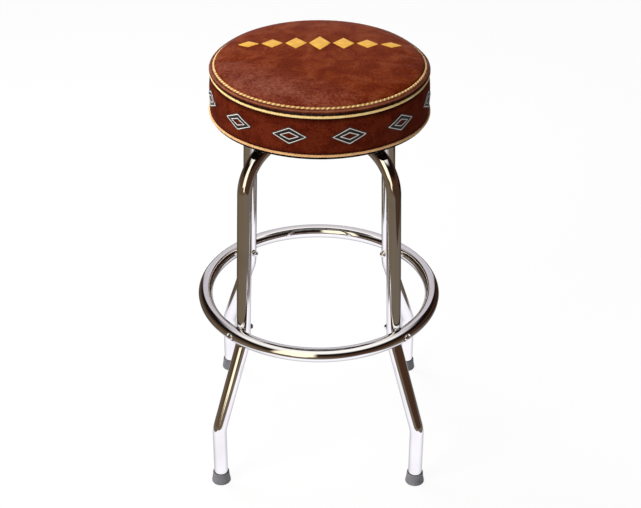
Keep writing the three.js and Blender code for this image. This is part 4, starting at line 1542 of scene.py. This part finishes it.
def lie(line, normals):
    """How far the foam stands out under each point of the grid, against its ring's mean."""
    rows = np.zeros((len(line), SEGMENTS))
    for i, ((radius, height), (nr, nz)) in enumerate(zip(line, normals)):
        for j in range(0, SEGMENTS, 2):
            out = Vector((nr * SPIN[j, 0], nr * SPIN[j, 1], nz))
            start = Vector((radius * SPIN[j, 0], radius * SPIN[j, 1], height)) + out * RAY_START
            hit = foam_tree.ray_cast(start, -out, 4 * RAY_START)
            rows[i, j] = -hit[3] if hit[3] is not None else np.nan
        known = np.isfinite(rows[i, ::2])
        row = np.where(known, rows[i, ::2], np.nanmean(rows[i, ::2]) if known.any() else 0.0)
        rows[i, ::2] = row - row.mean()
        rows[i, 1::2] = (rows[i, ::2] + np.roll(rows[i, ::2], -1)) / 2
    return LIE_LIMIT * np.tanh(smoothed(rows, 3) / LIE_LIMIT)


# %% Puckers at the seams
SEAM_REACH = 7 * MM
PUCKER = 0.35 * MM
PUCKER_REACH = 4 * MM
random = np.random.default_rng(11)


def seam_distance(line, seams):
    """Distance along the line from each point to the nearer of its seams."""
    lengths = lengths_along(line)
    ends = {"start": lengths, "end": lengths[-1] - lengths}
    return np.min([ends[seam] for seam in seams], axis=0)


def gathers(fewest, most, waves):
    """Waves round the seat added up, with counts and starts drawn at random."""
    counts = random.integers(fewest, most, waves)
    starts = random.uniform(0, math.tau, waves)
    return sum(np.cos(TURNS * count + start) for count, start in zip(counts, starts)) / waves**0.5


def puckers(distance):
    """Small gathers at the seams, deepest at the thread."""
    return np.outer(np.exp(-distance / PUCKER_REACH), gathers(70, 120, 9)) * PUCKER


# %% A shell of leather along the line
WAXED_WAY = (-0.5, -0.87)
WAXED_FROM = 0.07
WAXED_FADE = 0.08
# Inside faces of each leather shell get half of the painted crease shade.
PAINTED_INSIDE_SHADE = 0.5
POLE = 0.01 * MM
outer_points = []
outer_faces = []


def ring_points(radius, height):
    """A ring of points round the seat, whose radius and height may differ from point to point."""
    return [tuple(p) for p in np.column_stack([SPIN * np.reshape(radius, (-1, 1)), height]).tolist()]


def shell_rings(line, heights, thicknesses):
    """Rings of a shell that stands by heights off the line: the outer ones, and the inner ones."""
    outer, inner = [], []
    grid = zip(line, outward_normals(line), heights, thicknesses)
    for (radius, height), (nr, nz), row, thickness in grid:
        for rings, depth in ((outer, 0.0), (inner, thickness)):
            if radius < POLE:
                rings.append([(0, 0, height - depth)])
            else:
                out = row - depth
                rings.append(ring_points(radius + nr * out, height + nz * out))
    return outer, inner


def store_values(mesh, name, values):
    mesh.attributes.new(name, "FLOAT", "POINT").data.foreach_set("value", values)


def leather_skin(name, line, seams, slot, stands_for, shade_marks, least_wax=0.0, fill=0.9):
    """A shell of leather along the line, whose outside lies as the foam does. Its marks say how much
    shade is painted into the dye at distances from the line's end, and below 0 how much highlight."""
    distance = seam_distance(line, seams)
    settled = np.clip(distance / (3 * SEAM_REACH), 0, 1) ** 1.5
    heights = lie(line, outward_normals(line)) * settled[:, None] + puckers(distance)
    outer, inner = shell_rings(line, heights, [LEATHER_THICKNESS] * len(line))
    mesh = loft(name, outer + inner[::-1], closed=len(outer[0]) > 1)
    set_points(mesh, hang(draw_in(points_of(mesh))))
    count = sum(len(ring) for ring in outer)
    first = len(outer_points)
    outer_points.extend(vertex.co.copy() for vertex in mesh.vertices[:count])
    outside = [face.vertices for face in mesh.polygons if max(face.vertices) < count]
    outer_faces.extend(tuple(first + i for i in corners) for corners in outside)
    dark = np.interp(seam_distance(line, ["end"]), *zip(*shade_marks))
    values = [value for ring, value in zip(outer, dark) for _ in ring]
    store_values(mesh, "seam", values + [PAINTED_INSIDE_SHADE] * (len(mesh.vertices) - len(values)))
    points = points_of(mesh)
    toward = WAXED_WAY[0] * points[:, 0] + WAXED_WAY[1] * points[:, 1]
    polished = np.clip((toward - WAXED_FROM) / WAXED_FADE, 0, 1) * (points[:, 2] > UPPER_Z)
    store_values(mesh, "waxed", np.maximum(polished, least_wax))
    piece = dress(name, mesh, "seat", slot, stands_for, crisp=70)
    return piece


# %% Lay the top panel, the shoulder strip and the band
# Painted light by distance from each part's end: shade in the creases at the cords, and on the shoulder
# strip a highlight on its upper ledge, below 0.
top_marks = [(0, 0.6), (3 * MM, 0.0)]
shoulder_marks = [(0, 1.0), (7 * MM, 0.95), (8.5 * MM, -0.3), (10.5 * MM, -0.35), (12.5 * MM, 0.4)]
band_marks = [(0, 1.0), (3 * MM, 0.6), (9 * MM, 0.0), (57 * MM, 0.0), (63 * MM, 0.6), (66 * MM, 1.0)]
both = ["start", "end"]
parts = (
    ("leather_top", top_line, ["end"], "top_leather", ["top_panel"], top_marks),
    ("leather_shoulder", shoulder_line, both, "top_leather", ["shoulder_strip"], shoulder_marks, 1.0),
    ("leather_band", band_line, both, "band_leather", ["side_band"], band_marks),
)
leathers = {part[0]: leather_skin(*part) for part in parts}

# %% The foam piece itself, kept under the leather
LEATHER_ROOM = LEATHER_THICKNESS + 0.4 * MM
leather_tree = BVHTree.FromPolygons(outer_points, outer_faces)
held_back = 0
for index, place in enumerate(foam_points):
    if place[2] < FOAM_FLOOR + MM:
        continue
    point = Vector(place)
    nearest, normal, _, _ = leather_tree.find_nearest(point)
    if (point - nearest).dot(normal) > -LEATHER_ROOM:
        foam_points[index] = nearest - normal * LEATHER_ROOM
        held_back += 1
set_points(foam_mesh, foam_points)
print(f"foam: {held_back} of {len(foam_points)} points held back under the leather")
foam_piece = dress("swollen_foam", foam_mesh, "seat", "foam", ["foam_pad"], crisp=60)

# %% [markdown]
# ## Seat: the hem and the dust cover
# The band's leather turns under the board as a hem, stapled flat, and gathers into small pleats
# because its inner edge is shorter than its outer one. A black woven dust cover closes the middle
# and sags a little between its staples.

# %% Hem with pleats
LIP_RADIUS = 5.2 * MM
LIP_START = 2.6 * MM
HEM_STEP = 1.5 * MM
PLEAT_DEPTH = 0.5 * MM
HEM_THINNED = 0.6 * MM
lip_drop = LOWER_Z - LIP_START - SEAT_BOTTOM_Z
hem_line = [(LOWER_RADIUS - UNDER_CORD, LOWER_Z - 0.4 * MM)]
for a in quarter:
    rolled_in = LIP_RADIUS * (1 - math.cos(a))
    hem_line.append((LOWER_RADIUS - rolled_in, LOWER_Z - LIP_START - lip_drop * math.sin(a)))
hem_line += [(HEM_INNER + 0.6 * MM, SEAT_BOTTOM_Z), (HEM_INNER, SEAT_BOTTOM_Z + 0.4 * MM)]
hem_line = spaced(hem_line, HEM_STEP)


def hem_mesh():
    inward = np.clip((LOWER_RADIUS - hem_line[:, 0]) / (LOWER_RADIUS - HEM_INNER), 0, 1)
    folds = np.clip(gathers(28, 64, 7), -0.2, 1.4) * PLEAT_DEPTH
    thicknesses = LEATHER_THICKNESS - HEM_THINNED * inward
    outer, inner = shell_rings(hem_line, np.outer(inward, -np.abs(folds)), thicknesses)
    mesh = loft("leather_hem", outer + inner[::-1], closed=True)
    set_points(mesh, hang(points_of(mesh)))
    # Painted shade: the leather that turns under the seat darkens away from the lower seam, and its inner
    # side is dark all over.
    under = np.clip((LOWER_Z - hem_line[:, 1]) / (2 * MM), 0, 1)
    store_values(mesh, "seam", [*np.repeat(under, SEGMENTS), *np.ones(len(hem_line) * SEGMENTS)])
    return mesh


dress("leather_hem", hem_mesh(), "seat", "band_leather", ["bottom_hem"], crisp=60)

# %% Dust cover, sagging between its staples
STAPLES = 36
cover_low, cover_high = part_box("dust_cover")
COVER_RADIUS = cover_high.x
COVER_THICKNESS = 0.6 * MM
COVER_HOLE = 14.5 * MM
PLATE_REACH = SEAT_PLATE_SIDE / math.sqrt(2)
SAG = 1.6 * MM
EDGE_SAG = 0.25 * MM


def dust_cover_mesh():
    rings_out = [COVER_HOLE, 30 * MM, 60 * MM, *np.linspace(PLATE_REACH, COVER_RADIUS, 16)]
    lower, upper = [], []
    for radius in rings_out:
        share = np.clip((radius - PLATE_REACH) / (COVER_RADIUS - PLATE_REACH), 0, 1)
        sag = SAG * math.sin(math.pi * share) * (0.75 + 0.25 * np.cos(5 * TURNS + 1.0))
        edge = EDGE_SAG * share**4 * (1 - np.cos(TURNS * STAPLES))
        level = cover_low.z - sag - edge
        lower.append(ring_points(radius, level))
        upper.append(ring_points(radius, level + COVER_THICKNESS))
    return loft("woven_dust_cover", lower + upper[::-1], closed=True)


dress("woven_dust_cover", dust_cover_mesh(), "seat", "dust_cloth", ["dust_cover"], crisp=60)

# %% Staples along the hem and the cover's edge
STAPLE_HALF = 5 * MM
STAPLE_WIRE = 0.45 * MM
WIRE_SIDES = 8
HEM_STAPLES_IN = 7 * MM
COVER_STAPLES_IN = 5 * MM
leg_end = [(-STAPLE_HALF, -2.5 * MM), (-STAPLE_HALF, 0.1 * MM), (-STAPLE_HALF + 0.5 * MM, 0.5 * MM)]
wire = [(0.0, y, z) for y, z in leg_end] + [(0.0, -y, z) for y, z in leg_end[::-1]]
wire_turns = np.arange(WIRE_SIDES) * math.tau / WIRE_SIDES
wire_rings = []
for i, centre in enumerate(wire):
    before, after = wire[max(i - 1, 0)], wire[min(i + 1, len(wire) - 1)]
    along = (Vector(after) - Vector(before)).normalized()
    side = Vector((1, 0, 0))
    over = along.cross(side)
    corners = [side * math.cos(a) + over * math.sin(a) for a in wire_turns]
    wire_rings.append([tuple(Vector(centre) + corner * STAPLE_WIRE) for corner in corners])
staple_shape = loft("staple", wire_rings, capped=True)
staple_turns = turns_of(STAPLES, 0.5)
staple_places = at_turns(staple_turns, HEM_INNER + HEM_STAPLES_IN, SEAT_BOTTOM_Z)
staple_places += at_turns(staple_turns, COVER_RADIUS - COVER_STAPLES_IN, cover_low.z - COVER_THICKNESS)
staple_spins = [-t + random.uniform(-0.25, 0.25) for t in staple_turns * 2]
staple_seats = (staple_places, [DOWN] * len(staple_places))
seat_fasteners("staples", staple_shape, *staple_seats, "seat", "zinc_steel", spins=staple_spins)

# %% [markdown]
# ## Seat: the gold cords
# Three twisted cords cover the seams. A tree winds each strand round the seam's circle: the strand's
# phase comes from the angle round the seat times the number of turns, plus its own share of a turn.
# The number of turns is whole, so the ends meet. The braid's second strand is thinner and darker, so
# it shows between the beads of the first.

# %% The twisted cord's tree


def twisted_cord_tree():
    floats = ["Path Radius", "Height", "Strand Radius", "Offset", "Second Strand"]
    tree, given = shape_tree("twisted_cord", Float=floats, Int=["Turns", "Strands", "Steps", "Sides"])
    hoop = round_section(tree, given["Steps"], given["Path Radius"])
    strands = {"Geometry": hoop, "Amount": given["Strands"]}
    strands = node(tree, "GeometryNodeDuplicateElements", strands, domain="SPLINE").outputs
    strand = strands["Duplicate Index"]
    x, y, _ = split(tree, node(tree, "GeometryNodeInputPosition").outputs[0])
    angle = calc(tree, "ARCTAN2", y, x)
    own_turn = times(tree, calc(tree, "DIVIDE", strand, given["Strands"]), math.tau)
    phase = times_plus(tree, angle, given["Turns"], own_turn)
    outward = times(tree, calc(tree, "COSINE", phase), given["Offset"])
    outward = calc(tree, "ADD", calc(tree, "DIVIDE", outward, given["Path Radius"]), 1.0)
    height = times_plus(tree, calc(tree, "SINE", phase), given["Offset"], given["Height"])
    wound = {0: times(tree, x, outward), 1: times(tree, y, outward), 2: height}
    wound = node(tree, "ShaderNodeCombineXYZ", wound).outputs[0]
    along = calc(tree, "DIVIDE", times(tree, angle, given["Turns"]), math.tau)
    path = store(tree, strands["Geometry"], "along", along)
    path = move_points(tree, store(tree, path, "strand", strand), wound)
    thinned = times_plus(tree, strand, calc(tree, "SUBTRACT", given["Second Strand"], 1.0), 1.0)
    path = node(tree, "GeometryNodeSetCurveRadius", {"Curve": path, "Radius": thinned}).outputs[0]
    section = strand_section(tree, given["Sides"], given["Strand Radius"])
    return end_tree(tree, sweep(tree, path, section), given["Material"])


twisted_cord = twisted_cord_tree()

# %% Lay the three cords
BRAID_SWELL = 2.6 * MM
CORD_SIDES = 8
STEPS_PER_TURN = 12
STRANDS_PRESSED = 1.06


def cord_sizes(radius, height, thickness, strands, turns, second, finish):
    """Inputs of the tree for a cord that thick, whose strands are pressed into each other a little."""
    strand = thickness / 2 / (1 + 1 / math.sin(math.pi / strands))
    return {
        "Path Radius": radius,
        "Height": height,
        "Strand Radius": strand * STRANDS_PRESSED,
        "Offset": thickness / 2 - strand,
        "Second Strand": second,
        "Turns": turns,
        "Strands": strands,
        "Steps": turns * STEPS_PER_TURN,
        "Sides": CORD_SIDES,
        "Material": finishes[finish],
    }


braid = (BRAID_RADIUS, BRAID_Z, BRAID_THICKNESS + BRAID_SWELL, 2, 138, 0.78, "gold_braid")
upper_cord = (UPPER_RADIUS - SUNK, UPPER_Z, PIPING_THICKNESS + 0.3 * MM, 3, 76, 1.0, "gold_piping")
lower_cord = (LOWER_RADIUS + 0.3 * MM, LOWER_Z, PIPING_THICKNESS, 3, 76, 1.0, "shaded_piping")
cords = (
    ("gold_braid", "braid_trim", braid),
    ("upper_gold_cord", "upper_piping", upper_cord),
    ("lower_gold_cord", "lower_piping", lower_cord),
)
for name, stands_for, measures in cords:
    mesh = grow(name, base_points(name, [(0, 0, 0)]), twisted_cord, cord_sizes(*measures))
    points = hang(draw_in(points_of(mesh)))
    if name == "gold_braid":
        points[:, 2] -= np.interp(points[:, 1], [-0.10, 0.08], [0.7 * MM, 2.0 * MM])
    set_points(mesh, points)
    dress(name, mesh, "seat", "gold_trim", [stands_for], crisp=80)

# %% [markdown]
# ## Embroidery
# The top carries a chain of satin-stitched lozenges in gold. The band carries a row of lozenges,
# each with two white outlines and black threads between and beside them. Both are plain ornaments.
# Each stitch is a few points above the leather with the way to look for it. A tree drops them on the
# leather by ray, lifts the middle of each stitch by its own arch, and gives the thread its
# thickness.

# %% The laid thread's tree
RAY_LENGTH = 0.1
TWIST_RATE = 320.0  # turns of the plies to the metre


def laid_thread_tree():
    floats = ["Thread Radius", "Lift", "Arch"]
    tree, given = shape_tree("laid_thread", Object=["Leather"], Float=floats, Int=["Sides"])
    leather = node(tree, "GeometryNodeObjectInfo", {"Object": given["Leather"]}).outputs["Geometry"]
    place = node(tree, "GeometryNodeInputPosition").outputs[0]
    ray = {"Target Geometry": leather, "Source Position": place, "Ray Length": RAY_LENGTH}
    ray["Ray Direction"] = attribute(tree, "toward", "FLOAT_VECTOR")
    hit = node(tree, "GeometryNodeRaycast", ray).outputs
    height = times_plus(tree, attribute(tree, "arch"), given["Arch"], given["Lift"])
    lift = {0: hit["Hit Normal"], "Scale": height}
    lift = node(tree, "ShaderNodeVectorMath", lift, operation="SCALE").outputs[0]
    laid = {0: hit["Hit Position"], 1: lift}
    laid = node(tree, "ShaderNodeVectorMath", laid, operation="ADD").outputs[0]
    stitches = move_points(tree, given["Geometry"], laid)
    path = node(tree, "GeometryNodeMeshToCurve", {"Mesh": stitches}).outputs[0]
    length = node(tree, "GeometryNodeSplineParameter").outputs["Length"]
    path = store(tree, path, "along", times(tree, length, TWIST_RATE))
    section = strand_section(tree, given["Sides"], given["Thread Radius"])
    return end_tree(tree, sweep(tree, path, section, capped=True), given["Material"])


laid_thread = laid_thread_tree()

# %% Lay threads along lines of points
THREAD_SIDES = 6
ARCH_FULLNESS = 0.6


def lay_thread(name, lines, toward, leather, finish, radius, lift, arch=0.0, closed=False, slot=None):
    """Threads along lines of points, dropped on the leather in the direction toward(point)."""
    places, edges, rays, arches = [], [], [], []
    for line in lines:
        first, count = len(places), len(line)
        places += line
        edges += [(first + i, first + i + 1) for i in range(count - 1)]
        if closed:
            edges.append((first + count - 1, first))
        rays += [toward(place) for place in line]
        arches += [math.sin(math.pi * i / (count - 1)) ** ARCH_FULLNESS for i in range(count)]
    base = base_points(name, places, edges, toward=rays, arch=arches)
    inputs = {"Leather": leathers[leather], "Thread Radius": radius, "Lift": lift, "Arch": arch}
    mesh = grow(name, base, laid_thread, {**inputs, "Sides": THREAD_SIDES, "Material": finishes[finish]})
    return dress(name, mesh, "seat", slot, crisp=80)


# %% Golden lozenges on the top
LOZENGE_PITCH = 40 * MM
LOZENGE_HALF_WIDTH = 18 * MM
LOZENGE_HALF_HEIGHTS = [h * MM for h in (12, 17, 22, 28, 22, 17, 12)]
CHAIN_Y = 48 * MM
STITCH_PITCH = 0.62 * MM
STITCH_POINTS = 6
SHORTEST_STITCH = 0.8 * MM
ABOVE = SEAT_TOP_Z + 20 * MM


def satin_lozenge(centre, half_height):
    """Upright stitches side by side, each a little off its place."""
    lines = []
    count = int(2 * LOZENGE_HALF_WIDTH / STITCH_PITCH)
    for i in range(1, count):
        x = -LOZENGE_HALF_WIDTH + 2 * LOZENGE_HALF_WIDTH * i / count
        reach = half_height * (1 - abs(x) / LOZENGE_HALF_WIDTH) + random.uniform(-0.25, 0.25) * MM
        if reach < SHORTEST_STITCH:
            continue
        ends = np.linspace(-reach, reach, STITCH_POINTS)
        lines.append([(centre + x, CHAIN_Y + float(y), ABOVE) for y in ends])
    return lines


def straight_down(place):
    return DOWN


satin = []
for i, half_height in enumerate(LOZENGE_HALF_HEIGHTS):
    satin += satin_lozenge((i - len(LOZENGE_HALF_HEIGHTS) // 2) * LOZENGE_PITCH, half_height)
satin_sizes = {"radius": 0.36 * MM, "lift": 0.1 * MM, "arch": 0.7 * MM, "slot": "gold_trim"}
lay_thread("satin_lozenges", satin, straight_down, "leather_top", "gold_stitching", **satin_sizes)

# %% Outlined lozenges round the band
BAND_LOZENGES = 12
BAND_HALF_WIDTH = 27 * MM
BAND_HALF_HEIGHT = 13 * MM
BAND_MIDDLE_Z = (UPPER_Z + LOWER_Z) / 2
AROUND = LOWER_RADIUS + 20 * MM
SIDE_POINTS = 14
WHITE_OUTLINES = (0.0, 12.0)  # how much smaller each outline is drawn, in millimetres
BLACK_OUTLINES = (-2.2, 2.2, 4.2, 6.0, 7.8, 9.8, 14.2)


def outlined_lozenge(turn, shrink):
    """A lozenge's outline as points round the band."""
    corners = [(1, 0), (0, 1), (-1, 0), (0, -1), (1, 0)]
    points = []
    for (x0, z0), (x1, z1) in zip(corners, corners[1:]):
        for i in range(SIDE_POINTS):
            share = i / SIDE_POINTS
            x = (x0 + (x1 - x0) * share) * (BAND_HALF_WIDTH - shrink)
            z = (z0 + (z1 - z0) * share) * (BAND_HALF_HEIGHT - shrink * 0.6)
            points.append(at_corner(turn + x / LOWER_RADIUS, AROUND, BAND_MIDDLE_Z + z))
    return points


def to_axis(place):
    away = math.hypot(place[0], place[1])
    return (-place[0] / away, -place[1] / away, 0.0)


threads_round = (
    ("black_band_thread", BLACK_OUTLINES, "black_thread", 1.0 * MM, 0.1 * MM),
    ("white_band_thread", WHITE_OUTLINES, "white_thread", 0.9 * MM, 0.3 * MM),
)
for name, outlines, *looks in threads_round:
    lines = [outlined_lozenge(turn, s * MM) for s in outlines for turn in turns_of(BAND_LOZENGES, 0.5)]
    lay_thread(name, lines, to_axis, "leather_band", *looks, closed=True)
